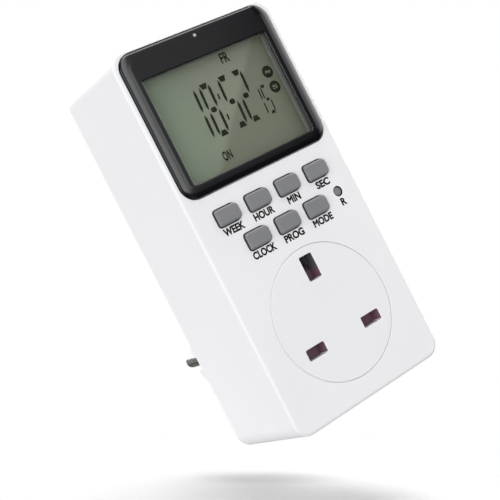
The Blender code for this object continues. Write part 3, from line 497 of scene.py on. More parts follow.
def shutterMaterial():  # maroon nylon with painted shade: dark grey above a soft edge under the earth slot, where the ramp turns away
    material, tree, shader = startMaterial("shutter_red")
    place = addNode(tree, "TexCoord").outputs["Object"]
    split = addNode(tree, "SeparateXYZ", Vector=place)
    low = spread(tree, split.outputs["Z"], 0.0, 1.0, shutter["earthEdge"] * mm,
                 (shutter["earthEdge"] - shutter["shadeEdgeSoft"]) * mm)
    skin = placeEffect(tree, "moulded", Colour=(*shutter["maroon"], 1), Grain_Scale=3000.0, Gloss=0.38,
                       Deep_Colour=tuple(0.85 * c for c in shutter["maroon"]) + (1,))
    colour = mixColours(tree, low, (*shutter["dark"], 1), skin.outputs["Colour"])
    tree.links.new(colour, shader.inputs["Base Color"])
    tree.links.new(skin.outputs["Roughness"], shader.inputs["Roughness"])
    addBump(tree, shader, skin.outputs["Height"], 0.06)
    return material


# painted light and shade: the low colour is painted below a soft diagonal line, the others above it
display = {"left": (0.183, 0.234, 0.166), "middle": (0.212, 0.232, 0.173), "low": (0.152, 0.168, 0.117),
           "shadeLineStart": (19.8, 82.95), "shadeLineSlope": 1.033, "shadeLineSoft": 1.2}


def displayMaterial():  # grey-green film with painted light and shade: lighter above a soft diagonal, darker in the lower right half
    material, tree, shader = startMaterial("lcd_green")
    place = addNode(tree, "TexCoord").outputs["Object"]
    split = addNode(tree, "SeparateXYZ", Vector=place)
    across = spread(tree, split.outputs["X"], 0.0, 1.0, -22 * mm, -2 * mm)
    upper = mixColours(tree, across, (*display["left"], 1), (*display["middle"], 1))
    x, z = display["shadeLineStart"]
    fall = calculate(tree, "Math", "MULTIPLY_ADD", split.outputs["Z"], -1 / display["shadeLineSlope"],
                     split.outputs["X"])
    line = (x - z / display["shadeLineSlope"]) * mm
    soft = display["shadeLineSoft"] * mm
    side = spread(tree, fall.outputs[0], 0.0, 1.0, line - soft, line + soft)
    skin = placeEffect(tree, "moulded", Grain_Scale=5000.0, Gloss=0.45, Colour=(*display["low"], 1),
                       Deep_Colour=tuple(0.97 * c for c in display["low"]) + (1,))
    tree.links.new(mixColours(tree, side, upper, skin.outputs["Colour"]), shader.inputs["Base Color"])
    tree.links.new(skin.outputs["Roughness"], shader.inputs["Roughness"])
    addBump(tree, shader, skin.outputs["Height"], 0.01)
    return material


def glassMaterial():  # clear acrylic that lets lamps light what is behind it
    material, tree, shader = startMaterial("clear_lens")
    place = addNode(tree, "TexCoord").outputs["Object"]
    haze = addNode(tree, "TexNoise", Vector=place, Scale=40.0, Detail=2.0).outputs["Fac"]
    tree.links.new(spread(tree, haze, 0.0, 0.015), shader.inputs["Roughness"])
    shader.inputs["Base Color"].default_value = (0.97, 0.98, 0.97, 1)
    shader.inputs["IOR"].default_value = 1.2
    shader.inputs["Transmission Weight"].default_value = 1.0
    path = addNode(tree, "LightPath")
    through = addNode(tree, "BsdfTransparent", Color=(0.97, 0.98, 0.97, 1))
    surface = shader.outputs[0]
    for kind in ("Is Diffuse Ray", "Is Shadow Ray"):
        surface = mixShaders(tree, path.outputs[kind], surface, through.outputs[0])
    tree.links.new(surface, tree.nodes["Material Output"].inputs["Surface"])
    return material


# painted glow: a bright middle and dark rim painted on the light pipe's lens
lampGlow = {"centre": (0.0, 90.0), "middle": 0.72, "rim": 0.10, "reach": 0.7}


def paintedGlowMaterial():  # painted glow: the diffusing lens is painted bright in its middle, fading to a dark rim
    material, tree, shader = startMaterial("paintedLampGlow")
    place = addNode(tree, "TexCoord").outputs["Object"]
    flat = calculate(tree, "VectorMath", "MULTIPLY", place, (1, 0, 1))
    centre = at(lampGlow["centre"][0], -caseFront, lampGlow["centre"][1])
    away = calculate(tree, "VectorMath", "DISTANCE", flat.outputs[0], centre)
    fade = spread(tree, away.outputs["Value"], 0.0, 1.0, 0.0, lampGlow["reach"] * mm)
    skin = placeEffect(tree, "moulded", Colour=(lampGlow["middle"],) * 3 + (1,), Gloss=0.4,
                       Deep_Colour=(0.9 * lampGlow["middle"],) * 3 + (1,))
    tree.links.new(mixColours(tree, fade, skin.outputs["Colour"], (lampGlow["rim"],) * 3 + (1,)),
                   shader.inputs["Base Color"])
    tree.links.new(skin.outputs["Roughness"], shader.inputs["Roughness"])
    shader.inputs["Specular IOR Level"].default_value = 0.1
    return material


materials["board_green"] = boardMaterial()
materials["copper"] = copperMaterial()
materials["shutter_red"] = shutterMaterial()
materials["lcd_green"] = displayMaterial()
materials["clear_lens"] = glassMaterial()
materials["paintedLampGlow"] = paintedGlowMaterial()
print("finishes ready:", len(materials))


def dress(piece, finish, body="housing", stands=()):
    piece.data.materials.clear()
    piece.data.materials.append(materials[finish])
    if stands:
        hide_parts(*([stands] if isinstance(stands, str) else stands))
    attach(piece, body)
    return piece


def paint(piece, finish, test):  # a second finish for some of a piece's faces
    piece.data.materials.append(materials[finish])
    pick(piece, "FACE", test)
    piece.active_material_index = len(piece.data.materials) - 1
    bpy.ops.object.material_slot_assign()
    putDown()


# Case and back

caseEdges = {"holes": 0.12, "steps": 2, "paintedShadeDepth": (0.1, 2.4), "keysX": 23.5, "keysZ": (23.5, 43.5)}


def frontRims(a, b):
    return near(a[1], 0.0) and near(b[1], 0.0)


caseShell = softened("front_case", "caseShell", caseEdges["holes"], caseEdges["steps"], frontRims)
dress(caseShell, "case_white", stands="front_case")


def keyHoleWall(c, n):
    (start, end), (low, high) = caseEdges["paintedShadeDepth"], caseEdges["keysZ"]
    return abs(n.y) < 0.5 and start < c[1] < end and abs(c[0]) < caseEdges["keysX"] and low < c[2] < high


# painted shade: the white walls of the key holes are painted black for the shadow in the gaps
paint(caseShell, "paintedGapShade", keyHoleWall)

coverEdges = {"width": 0.3, "steps": 3, "from": 34.9, "bossStart": 41.5}


def coverRims(a, b):  # the plate and plinth; the boss keeps its crisp grooves
    return min(a[1], b[1]) > coverEdges["from"] and max(a[1], b[1]) < coverEdges["bossStart"]


backCover = softened("rear_cover", "backCover", coverEdges["width"], coverEdges["steps"], coverRims)
dress(backCover, "case_white", stands="rear_cover")
print("case and back ready")

# Display surround

bezel = {"x": (-27.3, 27.3), "z": (46.9, 92.1), "corner": 4.8, "side": -0.1, "back": 1.3, "pillow": 4.3,
         "rise": 0.9, "steps": 14, "windowX": (-22.85, 22.85), "windowZ": (50.6, 83.4), "windowCorner": 0.6,
         "rim": 0.3, "rebate": 1.45, "rebateFront": -0.2, "led": (0.0, 90.0), "ledHole": 0.72}


def makeBezel():
    v = bezel
    piece = block("displaySurround", v["x"], (v["side"], v["back"]), v["z"])
    roundCorners(piece, v["corner"], 14)
    front = v["side"]
    for inward, upward in quarterRound(v["pillow"], v["rise"], v["steps"]):
        pick(piece, "FACE", lambda c, n: near(c[1], front) and n.y < -0.9)
        bpy.ops.mesh.inset(thickness=inward * mm, depth=upward * mm)
        putDown()
        front -= upward
    window = openingCutter(v["windowX"], v["windowZ"], v["windowCorner"], front, v["rim"])
    wide = v["rebate"]
    rebate = block("rebateCutter", (v["windowX"][0] - wide, v["windowX"][1] + wide),
                   (v["rebateFront"], 3), (v["windowZ"][0] - wide, v["windowZ"][1] + wide))
    hole = roundBar("lampCutter", v["led"], v["ledHole"], (-3, 3), 28)
    carve(piece, hole, window, rebate)
    smoothOff(piece, 40)
    return piece


dress(makeBezel(), "bezel_black", stands="bezel")

pane = {"x": (-24.0, 24.0), "depth": (0.1, 1.1), "z": (49.5, 84.5), "corner": 0.8, "edge": 0.12}


def makePane():
    piece = block("windowPane", pane["x"], pane["depth"], pane["z"])
    roundCorners(piece, pane["corner"], 4)
    for depth in pane["depth"]:
        roundRim(piece, depth, pane["edge"], 2)
    smoothOff(piece)
    return piece


dress(makePane(), "clear_lens", stands="display_window")

pipe = {"centre": (0.0, 90.0), "radius": 0.64, "depth": (-1.02, 6.2), "dome": 0.4}


def makeLightPipe():
    piece = roundBar("lightPipe", pipe["centre"], pipe["radius"], pipe["depth"], 28)
    roundRim(piece, pipe["depth"][0], pipe["dome"], 5)
    smoothOff(piece, 60)
    return piece


# the light pipe wears the painted glow
dress(makeLightPipe(), "paintedLampGlow", stands="led_light_pipe")
print("display surround ready")

# Figures on the display

figures = {"depth": 2.86, "thick": 0.03, "mid": 68.4, "lean": 0.05,
           "halfWidth": 1.65, "upright": 7.0, "uprightWidth": 0.88, "uprightTaper": 1.3,
           "uprightMiddle": 3.95, "barMiddle": 7.35, "barWide": 2.7, "barHigh": 1.7, "barShare": 0.55,
           "dotWide": 1.95, "dotHigh": 1.6,
           "large": (("8", -3.43), ("5", 3.6), ("2", 8.9), ("1", -8.85)),
           "small": (("1", 12.65), ("5", 15.45)), "smallZ": 64.75, "smallSize": 0.56, "smallWidth": 0.42,
           "colon": ((0.15, 71.3), (-0.18, 64.8)), "colonDot": (0.55, 1.9, 0.3, 0.6, 0.6, 0.1),
           "words": (("FR", (8.1, 81.3), 3.2, 3.2), ("ON", (-6.4, 54.7), 3.3, 2.9)),
           "iconCentres": ((19.85, 72.3), (19.85, 67.3)), "iconRadius": 1.9, "markSize": (2.0, 1.3)}


def segment(x, z, width, height, taper=0.0, top=1.0, bottom=1.0, lean=0.0):
    bpy.ops.object.select_all(action="DESELECT")
    bpy.ops.mesh.primitive_plane_add(size=1, rotation=(math.pi / 2, 0, 0))
    piece = bpy.context.object
    piece.scale = (width * mm, (height - 2 * taper) * mm, 1)
    settle(piece, "segment")
    reach = height / 2 - taper
    for way, share in ((1, top), (-1, bottom)):
        pick(piece, "EDGE", lambda a, b: near(a[2], way * reach) and near(b[2], way * reach))
        if taper:
            bpy.ops.mesh.extrude_region_move(TRANSFORM_OT_translate={"value": (0, 0, way * taper * mm)})
        bpy.ops.transform.resize(value=(share, 1, 1), center_override=(0, 0, way * height / 2 * mm))
        putDown()
    piece.rotation_euler = (0, lean, 0)
    piece.location = at(x, figures["depth"], z)
    return settle(piece, "segment")


# a top, g middle, d bottom, b and c right, f and e left
digitParts = {"1": "bc", "2": "abged", "5": "afgcd", "8": "abcdefg"}


def digit(letter, x, z, size, upright):
    v = figures
    made = []
    places = {"b": (1, 1), "c": (1, -1), "e": (-1, -1), "f": (-1, 1)}
    for part in digitParts[letter]:
        if part in places:
            side, high = places[part]
            rise = high * v["uprightMiddle"] * size
            made.append(segment(x + side * v["halfWidth"] * size + v["lean"] * rise, z + rise, upright,
                                v["upright"] * size, v["uprightTaper"] * size, 0.12, 0.12, v["lean"]))
        elif part == "g":
            made.append(segment(x, z, v["dotWide"] * size, v["dotHigh"] * size, 0.45 * size, 0.55, 0.55))
        else:
            high = 1 if part == "a" else -1
            rise = high * v["barMiddle"] * size
            shares = (1.0, v["barShare"]) if part == "a" else (v["barShare"], 1.0)
            made.append(segment(x + v["lean"] * rise, z + rise, v["barWide"] * size, v["barHigh"] * size, 0.0,
                                *shares))
    return made


def lettering(text, centre, width, height, depth, weight=0.03, thick=0.03):  # weight makes strokes bolder
    bpy.ops.object.select_all(action="DESELECT")
    bpy.ops.object.text_add(rotation=(math.pi / 2, 0, 0))
    piece = bpy.context.object
    piece.data.body = text
    piece.data.extrude, piece.data.bevel_depth, piece.data.bevel_resolution = 0.01, weight, 0
    bpy.ops.object.convert(target="MESH")
    piece = settle(bpy.context.object, "lettering")
    takeUp(piece)
    bpy.ops.object.mode_set(mode="EDIT")
    bpy.ops.mesh.select_all(action="SELECT")
    bpy.ops.mesh.remove_doubles(threshold=0.0005)
    bpy.ops.mesh.normals_make_consistent(inside=False)
    putDown()
    bpy.ops.object.origin_set(type="ORIGIN_GEOMETRY", center="BOUNDS")
    size = piece.dimensions
    piece.scale = (width * mm / size.x, thick * mm / size.y, height * mm / size.z)
    piece.location = at(centre[0], depth - thick / 2, centre[1])
    return settle(piece, "lettering")


def thicken(piece, thick):  # flat print given a little height towards the front
    takeUp(piece)
    bpy.ops.object.mode_set(mode="EDIT")
    bpy.ops.mesh.select_all(action="SELECT")
    bpy.ops.mesh.extrude_region_move(TRANSFORM_OT_translate={"value": (0, -thick * mm, 0)})
    bpy.ops.mesh.select_all(action="SELECT")
    bpy.ops.mesh.normals_make_consistent(inside=False)
    putDown()
    return piece


def makeFigures():
    v = figures
    made = []
    for letter, x in v["large"]:
        made += digit(letter, x, v["mid"], 1.0, v["uprightWidth"])
    for letter, x in v["small"]:
        made += digit(letter, x, v["smallZ"], v["smallSize"], v["smallWidth"])
    for x, z in v["colon"]:
        made.append(segment(x, z, *v["colonDot"]))
    for x, z in v["iconCentres"]:
        bpy.ops.object.select_all(action="DESELECT")
        bpy.ops.mesh.primitive_circle_add(vertices=40, radius=v["iconRadius"] * mm, fill_type="NGON",
                                          location=at(x, v["depth"], z), rotation=(math.pi / 2, 0, 0))
        made.append(settle(bpy.context.object, "icon"))
    solid = [thicken(joinPieces(made, "displayFigures"), v["thick"])]
    for word, centre, width, height in v["words"]:
        solid.append(lettering(word, centre, width, height, v["depth"]))
    return joinPieces(solid, "displayFigures")


dress(makeFigures(), "lcdBlack")


def makeIconMarks():
    v = figures
    made = []
    for (x, z), text in zip(v["iconCentres"], ("~", "S")):
        made.append(lettering(text, (x, z), *v["markSize"], v["depth"] - 0.05))
    return joinPieces(made, "iconMarks")


dress(makeIconMarks(), "lcd_green")
print("display figures ready")

# Keys

keys = {"width": 8.4, "height": 5.1, "proud": 1.1, "flange": (2.9, 1.2, 0.9), "stem": (1.2, 1.9),
        "leftCorner": 0.8, "rightCorner": 1.6, "rim": 0.7, "rimSteps": 3,
        "upper": (-17.1, 39.2, ("week", "hour", "minute", "second")),
        "lower": (-11.4, 29.4, ("clock", "program", "mode")), "pitch": 11.5}


def makeKey():
    v = keys
    w, h = v["width"] / 2, v["height"] / 2
    piece = block("keyCap", (-w, w), (-v["proud"], v["flange"][0]), (-h, h))
    roundCorners(piece, v["leftCorner"], 6, lambda x, z: x < 0)
    roundCorners(piece, v["rightCorner"], 10, lambda x, z: near(x, w))
    start, thick, out = v["flange"]
    deep = stepFace(piece, start, (0, 0), (1 + out / w, 1 + out / h), thick)
    inset = v["stem"][0]
    stepFace(piece, deep, (0, 0), ((w - inset) / (w + out), (h - inset) / (h + out)), v["stem"][1])
    roundRim(piece, -v["proud"], v["rim"], v["rimSteps"])
    smoothOff(piece, 40)
    piece.data.materials.append(materials["key_grey"])
    # painted shade: the key's side walls get the dark finish that stands for their shadow
    paint(piece, "paintedKeySideShade", lambda c, n: abs(n.y) < 0.3 and c[1] > v["rim"] - v["proud"] - 0.1)
    return piece


keyMaster = makeKey()
for startX, z, names in (keys["upper"], keys["lower"]):
    for index, name in enumerate(names):
        cap = copyPiece(keyMaster, name + "Key", startX + keys["pitch"] * index, z)
        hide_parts(f"{name}_button")
        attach(cap, f"{name}_key")
bpy.data.objects.remove(keyMaster)

reset = {"centre": (21.3, 30.5), "radius": 1.35, "depth": (0.25, 2.9), "collar": (2.15, 1.2),
         "stem": (0.9, 1.9), "rim": 0.3}


def makeReset():
    v = reset
    piece = roundBar("resetKey", v["centre"], v["radius"], v["depth"], 36)
    wide = v["collar"][0] / v["radius"]
    deep = stepFace(piece, v["depth"][1], v["centre"], (wide, wide), v["collar"][1])
    slim = v["stem"][0] / v["collar"][0]
    stepFace(piece, deep, v["centre"], (slim, slim), v["stem"][1])
    roundRim(piece, v["depth"][0], v["rim"], 4)
    smoothOff(piece, 40)
    return piece


dress(makeReset(), "reset_grey", "reset_key", "reset_button")

labels = {"upperZ": 34.8, "lowerZ": 25.05, "height": 2.35, "weight": 0.046, "resetAt": (21.5, 27.05),
          "resetWidth": 2.0,
          "words": (("WEEK", -17.25, "upperZ", 7.5), ("HOUR", -5.9, "upperZ", 7.6),
                    ("MIN", 5.85, "upperZ", 4.9), ("SEC", 17.55, "upperZ", 5.3), ("CLOCK", -11.5, "lowerZ", 8.6),
                    ("PROG", 0.05, "lowerZ", 7.5), ("MODE", 11.65, "lowerZ", 7.7))}


def makeLabels():
    v = labels
    made = [lettering(word, (x, v[row]), width, v["height"], 0.0, v["weight"])
            for word, x, row, width in v["words"]]
    made.append(lettering("R", v["resetAt"], v["resetWidth"], v["height"], 0.0, v["weight"]))
    return joinPieces(made, "frontLettering")


dress(makeLabels(), "inkBlack")
print("keys and lettering ready")

# Outlet

outlet = {"radius": 20.7, "front": 0.0, "flangeStart": 2.9, "flangeRadius": 22.6, "back": 4.1, "rim": 0.12,
          "groove": 0.3, "seatRadius": 20.9,
          "line": ((11.11, -8.1), (6.9, 4.3)), "earth": ((0.0, 14.12), (4.6, 8.6)), "slotCorner": 0.45,
          "slotRim": 0.12, "lip": (0.9, 1.1), "lipStart": 0.2, "paintedShadeDepth": (0.15, 4.0), "paintedShadeReach": 19.5}


def makeSocketFace():
    v = outlet
    piece = roundBar("socketFace", (0, 0), v["radius"], (v["front"], v["groove"]), 128)
    roundRim(piece, v["front"], v["rim"], 3)
    depth, radius = v["groove"], v["radius"]
    for wider, deeper in ((v["seatRadius"], v["flangeStart"]), (v["flangeRadius"], v["back"])):
        depth = stepFace(piece, depth, (0, 0), (wider / radius, wider / radius), deeper - depth)
        radius = wider
    (lineX, lineZ), (lineW, lineH) = v["line"]
    slots = [(lineX, lineZ, lineW, lineH), (-lineX, lineZ, lineW, lineH), (*v["earth"][0], *v["earth"][1])]
    lip, deep = v["lip"]
    for x, z, w, h in slots:
        low = z - h / 2
        wedge = block("lipCutter", (x - w / 2, x + w / 2), (v["front"] - 1, v["front"] + deep),
                      (low, low + 2 * lip))
        pick(wedge, "EDGE", lambda a, b: near(a[2], low) and near(b[2], low) and a[1] > 0 and b[1] > 0)
        bpy.ops.transform.translate(value=(0, 0, lip * (1 + 1 / deep) * mm))
        putDown()
        carve(piece, openingCutter((x - w / 2, x + w / 2), (low + lip, z + h / 2), v["slotCorner"], v["front"],
                                   v["slotRim"]), wedge)
    smoothOff(piece, 40)
    dress(piece, "face_white", stands="socket_face")
    # painted shade: the slot walls of the white face are painted with the shutter's maroon and its dark upper
    # part, standing for the shade inside the slots
    start, end = v["paintedShadeDepth"]
    paint(piece, "shutter_red", lambda c, n: start < c[1] < end and abs(n.y) < 0.5 and n.z < 0.5
          and math.hypot(c[0], c[2]) < v["paintedShadeReach"])
    # painted shade: the white lip under each slot is painted pinkish grey
    paint(piece, "lipPink", lambda c, n: v["lipStart"] < c[1] < v["lip"][1] and -0.95 < n.y < -0.3
          and n.z > 0.3)


makeSocketFace()

spring = {"radius": 0.82, "wire": 0.2, "depth": 5.4, "foot": -20.3, "top": -12.3, "turns": 6, "keep": 0.325}


def makeSpring():
    v = spring
    bpy.ops.object.select_all(action="DESELECT")
    bpy.ops.mesh.primitive_circle_add(vertices=10, radius=v["wire"] * mm, rotation=(math.pi / 2, 0, 0))
    piece = settle(bpy.context.object, "shutterSpring")
    piece.data.transform(Matrix.Translation((v["radius"] * mm, 0, 0)))
    rise = (v["top"] - v["foot"] - 2 * v["wire"]) / v["turns"]
    finishModifier(piece, "SCREW", axis="Z", angle=2 * math.pi, screw_offset=rise * mm, iterations=v["turns"],
                   steps=20, render_steps=20, use_merge_vertices=True, merge_threshold=0.00001)
    takeUp(piece)
    bpy.ops.object.mode_set(mode="EDIT")
    bpy.ops.mesh.select_all(action="SELECT")
    bpy.ops.mesh.fill_holes(sides=12)
    bpy.ops.mesh.normals_make_consistent(inside=False)
    putDown()
    piece.location = at(0, v["depth"], v["foot"] + v["wire"])
    settle(piece, "shutterSpring")
    smoothOff(piece, 60)
    return piece


springPiece = dress(makeSpring(), "screw_steel", stands="shutter_spring")
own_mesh(springPiece)
print("outlet ready")

# Plug

pin = {"x": 9.5, "radius": 2.4, "tip": 80.0, "neck": 51.7, "tipRound": 1.5, "head": (3.6, 2.0),
       "tail": (1.3, 4.7)}


def makePin(side, name):
    v = pin
    centre = (side * v["x"], 0.0)
    piece = roundBar(name, centre, v["radius"], (v["neck"], v["tip"]), 40)
    roundRim(piece, v["tip"], v["tipRound"], 7)
    wide = v["head"][0] / v["radius"]
    front = stepFace(piece, v["neck"], centre, (wide, wide), -v["head"][1])
    slim = v["tail"][0] / v["head"][0]
    stepFace(piece, front, centre, (slim, slim), -v["tail"][1])
    smoothOff(piece, 40)
    return piece


dress(makePin(1, "livePin"), "nickel", stands="live_pin")
dress(makePin(-1, "neutralPin"), "nickel", stands="neutral_pin")
for node, name in (("earth_clip_top", "earthClipTop"), ("earth_clip_bottom", "earthClipBottom")):
    dress(softened(node, name, 0.15, 2), "nickel", stands=node)
print("plug ready")

# Case screws, modelled once and copied

caseScrews = {"x": 22.6, "topZ": 86.8, "lowZ": -21.0, "seat": 31.0, "head": (2.7, 1.8), "shank": (1.35, 11.0),
              "cross": (2.6, 0.7, 1.1)}


def makeScrew():
    v = caseScrews
    radius, high = v["head"]
    piece = roundBar("caseScrew", (0, 0), radius, (v["seat"], v["seat"] + high), 32)
    roundRim(piece, v["seat"] + high, 0.7, 5)
    slim = v["shank"][0] / radius
    stepFace(piece, v["seat"], (0, 0), (slim, slim), -v["shank"][1])
    roundRim(piece, v["seat"] - v["shank"][1], 0.5, 2)
    arm, wide, deep = v["cross"]
    top = v["seat"] + high
    for x, z in ((arm, wide), (wide, arm)):
        carve(piece, block("crossCutter", (-x / 2, x / 2), (top - deep, top + 1), (-z / 2, z / 2)))
    smoothOff(piece, 40)
    return piece


screwMaster = makeScrew()
for side, across in ((-1, "left"), (1, "right")):
    for height, z in (("top", caseScrews["topZ"]), ("bottom", caseScrews["lowZ"])):
        screw = copyPiece(screwMaster, f"caseScrew{height.title()}{across.title()}", side * caseScrews["x"], z)
        dress(screw, "screw_steel", stands=f"case_screw_{height}_{across}")
bpy.data.objects.remove(screwMaster)
print("screws ready")

# The CAD nodes that stay, with their own finishes

carriedOver = {
    # the display film carries the painted light and shade
    "lcd_green": ("lcd_glass",),
    "mask_grey": ("lcd_mask",),
    "rubber_grey": ("lcd_backing_film", "zebra_strip", "keypad_mat", "board_ribbon"),
    "face_white": ("lcd_holder",),
    # the LED inside gets the same painted glow
    "paintedLampGlow": ("indicator_led",),
    "board_green": ("display_board", "power_board"),
    "black_plastic": ("controller_chip", "smoothing_capacitor"),
    "screw_steel": ("quartz_crystal", "backup_cell", "relay_armature", "display_board_screw_left",
                    "display_board_screw_right", "socket_screw_left", "socket_screw_right",
                    "power_board_screw_left", "power_board_screw_right"),
    # the shutter carries the painted shade in its upper part
    "shutter_red": ("safety_shutter",),
    "base_grey": ("socket_base", "pin_carrier"),
    "contact_brass": ("live_contact", "neutral_contact", "earth_contact"),
    "relay_blue": ("relay_cover", "varistor"),
    "copper": ("relay_coil",),
    "film_yellow": ("film_capacitor",),
}
for finish, nodes in carriedOver.items():
    for node in nodes:
        piece = frame["nodes"][node]
        piece.data.materials.clear()
        piece.data.materials.append(materials[finish])

wires = {"live_wire": "wire_brown", "load_wire": "wire_red", "neutral_wire": "wire_blue",
         "neutral_feed_wire": "wire_blue", "earth_wire": "wire_green"}


def makeRoundWire(node, name):  # the CAD route with its six sides smoothed
    piece = softened(node, name, 0.2, 2)
    finishModifier(piece, "SUBSURF", levels=1, render_levels=1)
    takeUp(piece)
    bpy.ops.object.shade_smooth()
    return piece


for node, finish in wires.items():
    first, *rest = node.split("_")
    dress(makeRoundWire(node, first + "".join(word.title() for word in rest)), finish, stands=node)
print("inner parts ready")

# Camera, light and floor

camera = {"aim": (-3.94, -41.36, 26.59), "distance": 357.45, "azimuth": -31.15, "elevation": 1.84,
          "roll": 26.98, "lens": 84.29}


def makeCamera():
    v = camera
    azimuth, elevation = math.radians(v["azimuth"]), math.radians(v["elevation"])
    back = Vector((math.sin(azimuth) * math.cos(elevation), -math.cos(azimuth) * math.cos(elevation),
                   math.sin(elevation)))
    bpy.ops.object.select_all(action="DESELECT")
    bpy.ops.object.camera_add(location=(Vector(v["aim"]) + back * v["distance"]) * mm)
    piece = bpy.context.object
    turn = back.to_track_quat("Z", "Y").to_matrix().to_4x4() @ Matrix.Rotation(math.radians(-v["roll"]), 4, "Z")
    piece.rotation_euler = turn.to_euler()
    piece.data.lens, piece.data.sensor_width = v["lens"], 36.0
    piece.data.clip_start, piece.data.clip_end = 0.01, 20.0
    bpy.context.scene.camera = piece
    bpy.context.view_layer.update()
    return piece


cameraPiece = makeCamera()
across, upward, backward = (cameraPiece.matrix_world.to_3x3().col[i] for i in range(3))
print("camera", [round(value, 4) for value in (*across, *upward, *-backward)])

light = {"world": 0.637, "worldFar": 0.62, "most": 4.0,
         "mirror": ((0.0, 0.3), (0.26, 0.2), (0.34, 0.0), (0.44, 3.6), (0.57, 3.4), (0.69, 0.8), (0.77, 0.56),
                    (0.81, 0.1), (0.86, 0.1), (0.93, 2.6), (1.0, 3.2)),
         "mirrorLow": (0.06, -0.30, -0.10)}


def makeWorld():
    world = bpy.data.worlds.new("studioAir")
    bpy.context.scene.world = world
    world.use_nodes = True
    tree = world.node_tree
    tree.nodes.clear()
    place = addNode(tree, "TexCoord").outputs["Generated"]
    share = calculate(tree, "VectorMath", "DOT_PRODUCT", place, backward).outputs["Value"]
    soft = addNode(tree, "Background", Color=(1, 1, 1, 1),
                   Strength=spread(tree, share, light["worldFar"], light["world"], -0.6, 0.2))
    sideways = addNode(tree, "SeparateXYZ", Vector=place).outputs["X"]
    bands = addNode(tree, "ValToRGB", Fac=spread(tree, sideways, 0.0, 1.0, -1.0, 1.0))
    ramp = bands.color_ramp
    most = light["most"]  # a ramp holds colours up to 1, so its strengths are shares of this
    ramp.interpolation = "EASE"
    for spotAt, strength in light["mirror"]:
        index = {0.0: 0, 1.0: -1}.get(spotAt)  # a ramp starts with a stop at each end
        stop = ramp.elements.new(spotAt) if index is None else ramp.elements[index]
        stop.color = (strength / most,) * 3 + (1,)
    high = addNode(tree, "SeparateXYZ", Vector=place).outputs["Z"]
    least, dark, bright = light["mirrorLow"]
    raised = calculate(tree, "Math", "MULTIPLY", bands.outputs["Color"],
                       spread(tree, high, most * least, most, dark, bright))
    mirror = addNode(tree, "Background", Color=(0.98, 0.99, 1, 1), Strength=raised.outputs[0])
    plain = addNode(tree, "Background", Color=(1, 1, 1, 1), Strength=1.0)
    path = addNode(tree, "LightPath")
    output = addNode(tree, "OutputWorld")
    around = mixShaders(tree, path.outputs["Is Glossy Ray"], soft.outputs[0], mirror.outputs[0])
    seen = mixShaders(tree, path.outputs["Is Camera Ray"], around, plain.outputs[0])
    tree.links.new(seen, output.inputs["Surface"])


makeWorld()
bpy.context.scene.view_settings.view_transform = "Standard"


lamps = {"topLamp": (tuple(upward), 1.43, 40.0), "sideLamp": ((-0.83, -0.50, 0.22), 1.44, 50.0)}


def makeLamps():
    for name, (direction, strength, softness) in lamps.items():
        bpy.ops.object.select_all(action="DESELECT")
        bpy.ops.object.light_add(type="SUN")
        piece = bpy.context.object
        piece.name = name
        piece.rotation_euler = Vector(direction).to_track_quat("Z", "Y").to_euler()
        piece.data.energy, piece.data.angle = strength, math.radians(softness)


makeLamps()

card = {"centre": (-600.0, -400.0, 60.0), "facing": (0.855, 0.517, 0), "size": (200, 900), "strength": 2.0}


def makeCard():  # a bright panel that only shows in reflections
    bpy.ops.object.select_all(action="DESELECT")
    bpy.ops.mesh.primitive_plane_add(size=1, location=Vector(card["centre"]) * mm)
    piece = bpy.context.object
    piece.name = "leftCard"
    piece.rotation_euler = Vector(card["facing"]).to_track_quat("Z", "Y").to_euler()
    piece.scale = (card["size"][0] * mm, card["size"][1] * mm, 1)
    material = bpy.data.materials.new("leftCard")
    material.use_nodes = True
    tree = material.node_tree
    tree.nodes.clear()
    glow = addNode(tree, "Emission", Color=(0.97, 0.99, 1.0, 1), Strength=card["strength"])
    output = addNode(tree, "OutputMaterial")
    tree.links.new(glow.outputs[0], output.inputs["Surface"])
    piece.data.materials.append(material)
    piece.visible_camera = piece.visible_diffuse = piece.visible_shadow = False
    piece.visible_transmission = False


makeCard()

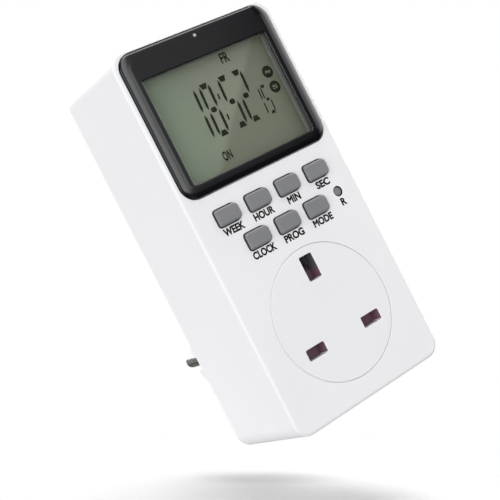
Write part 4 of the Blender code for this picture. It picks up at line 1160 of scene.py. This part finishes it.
# painted shadow: a soft dark oval in the floor's colour, moved sideways by aside
floor = {"distance": 400.0, "drop": 78.0, "radius": 95.0, "fadeFrom": 55.0, "shade": 0.74, "lit": 0.97,
         "aside": 5.4, "shadeSize": (36.0, 17.0)}


def makeFloor():
    v = floor
    centre = (cameraPiece.location - backward * v["distance"] * mm - upward * v["drop"] * mm
              + across * v["aside"] * mm)
    bpy.ops.object.select_all(action="DESELECT")
    bpy.ops.mesh.primitive_circle_add(vertices=96, radius=v["radius"] * mm, fill_type="NGON", location=centre)
    piece = bpy.context.object
    piece.name = "paleFloor"
    piece.rotation_euler = Matrix((across, -backward, upward)).transposed().to_euler()
    material, tree, shader = startMaterial("pale_floor")
    place = addNode(tree, "TexCoord").outputs["Object"]
    # painted shadow: darker inside the oval, fading to the floor's plain colour
    wide, deep = v["shadeSize"]
    shadowOval = calculate(tree, "VectorMath", "MULTIPLY", place, (1 / (wide * mm), 1 / (deep * mm), 0))
    reach = calculate(tree, "VectorMath", "LENGTH", shadowOval.outputs[0])
    lit = addNode(tree, "MapRange", {"interpolation_type": "SMOOTHERSTEP"}, Value=reach.outputs["Value"])
    lit.inputs["From Max"].default_value = 1.0
    colour = mixColours(tree, lit.outputs["Result"], (v["shade"],) * 3 + (1,), (v["lit"],) * 3 + (1,))
    tree.links.new(colour, shader.inputs["Base Color"])
    shader.inputs["Roughness"].default_value = 1.0
    shader.inputs["Specular IOR Level"].default_value = 0.0
    distance = calculate(tree, "VectorMath", "LENGTH", place)
    fade = addNode(tree, "MapRange", {"interpolation_type": "SMOOTHSTEP"}, Value=distance.outputs["Value"])
    fade.inputs["From Min"].default_value = v["fadeFrom"] * mm
    fade.inputs["From Max"].default_value = v["radius"] * mm
    behind = addNode(tree, "NewGeometry").outputs["Backfacing"]
    hidden = calculate(tree, "Math", "MAXIMUM", fade.outputs["Result"], behind)
    clear = addNode(tree, "BsdfTransparent")
    surface = mixShaders(tree, hidden.outputs[0], shader.outputs[0], clear.outputs[0])
    tree.links.new(surface, tree.nodes["Material Output"].inputs["Surface"])
    piece.data.materials.append(material)
    piece.visible_glossy = False


makeFloor()
print("camera, light and floor ready")
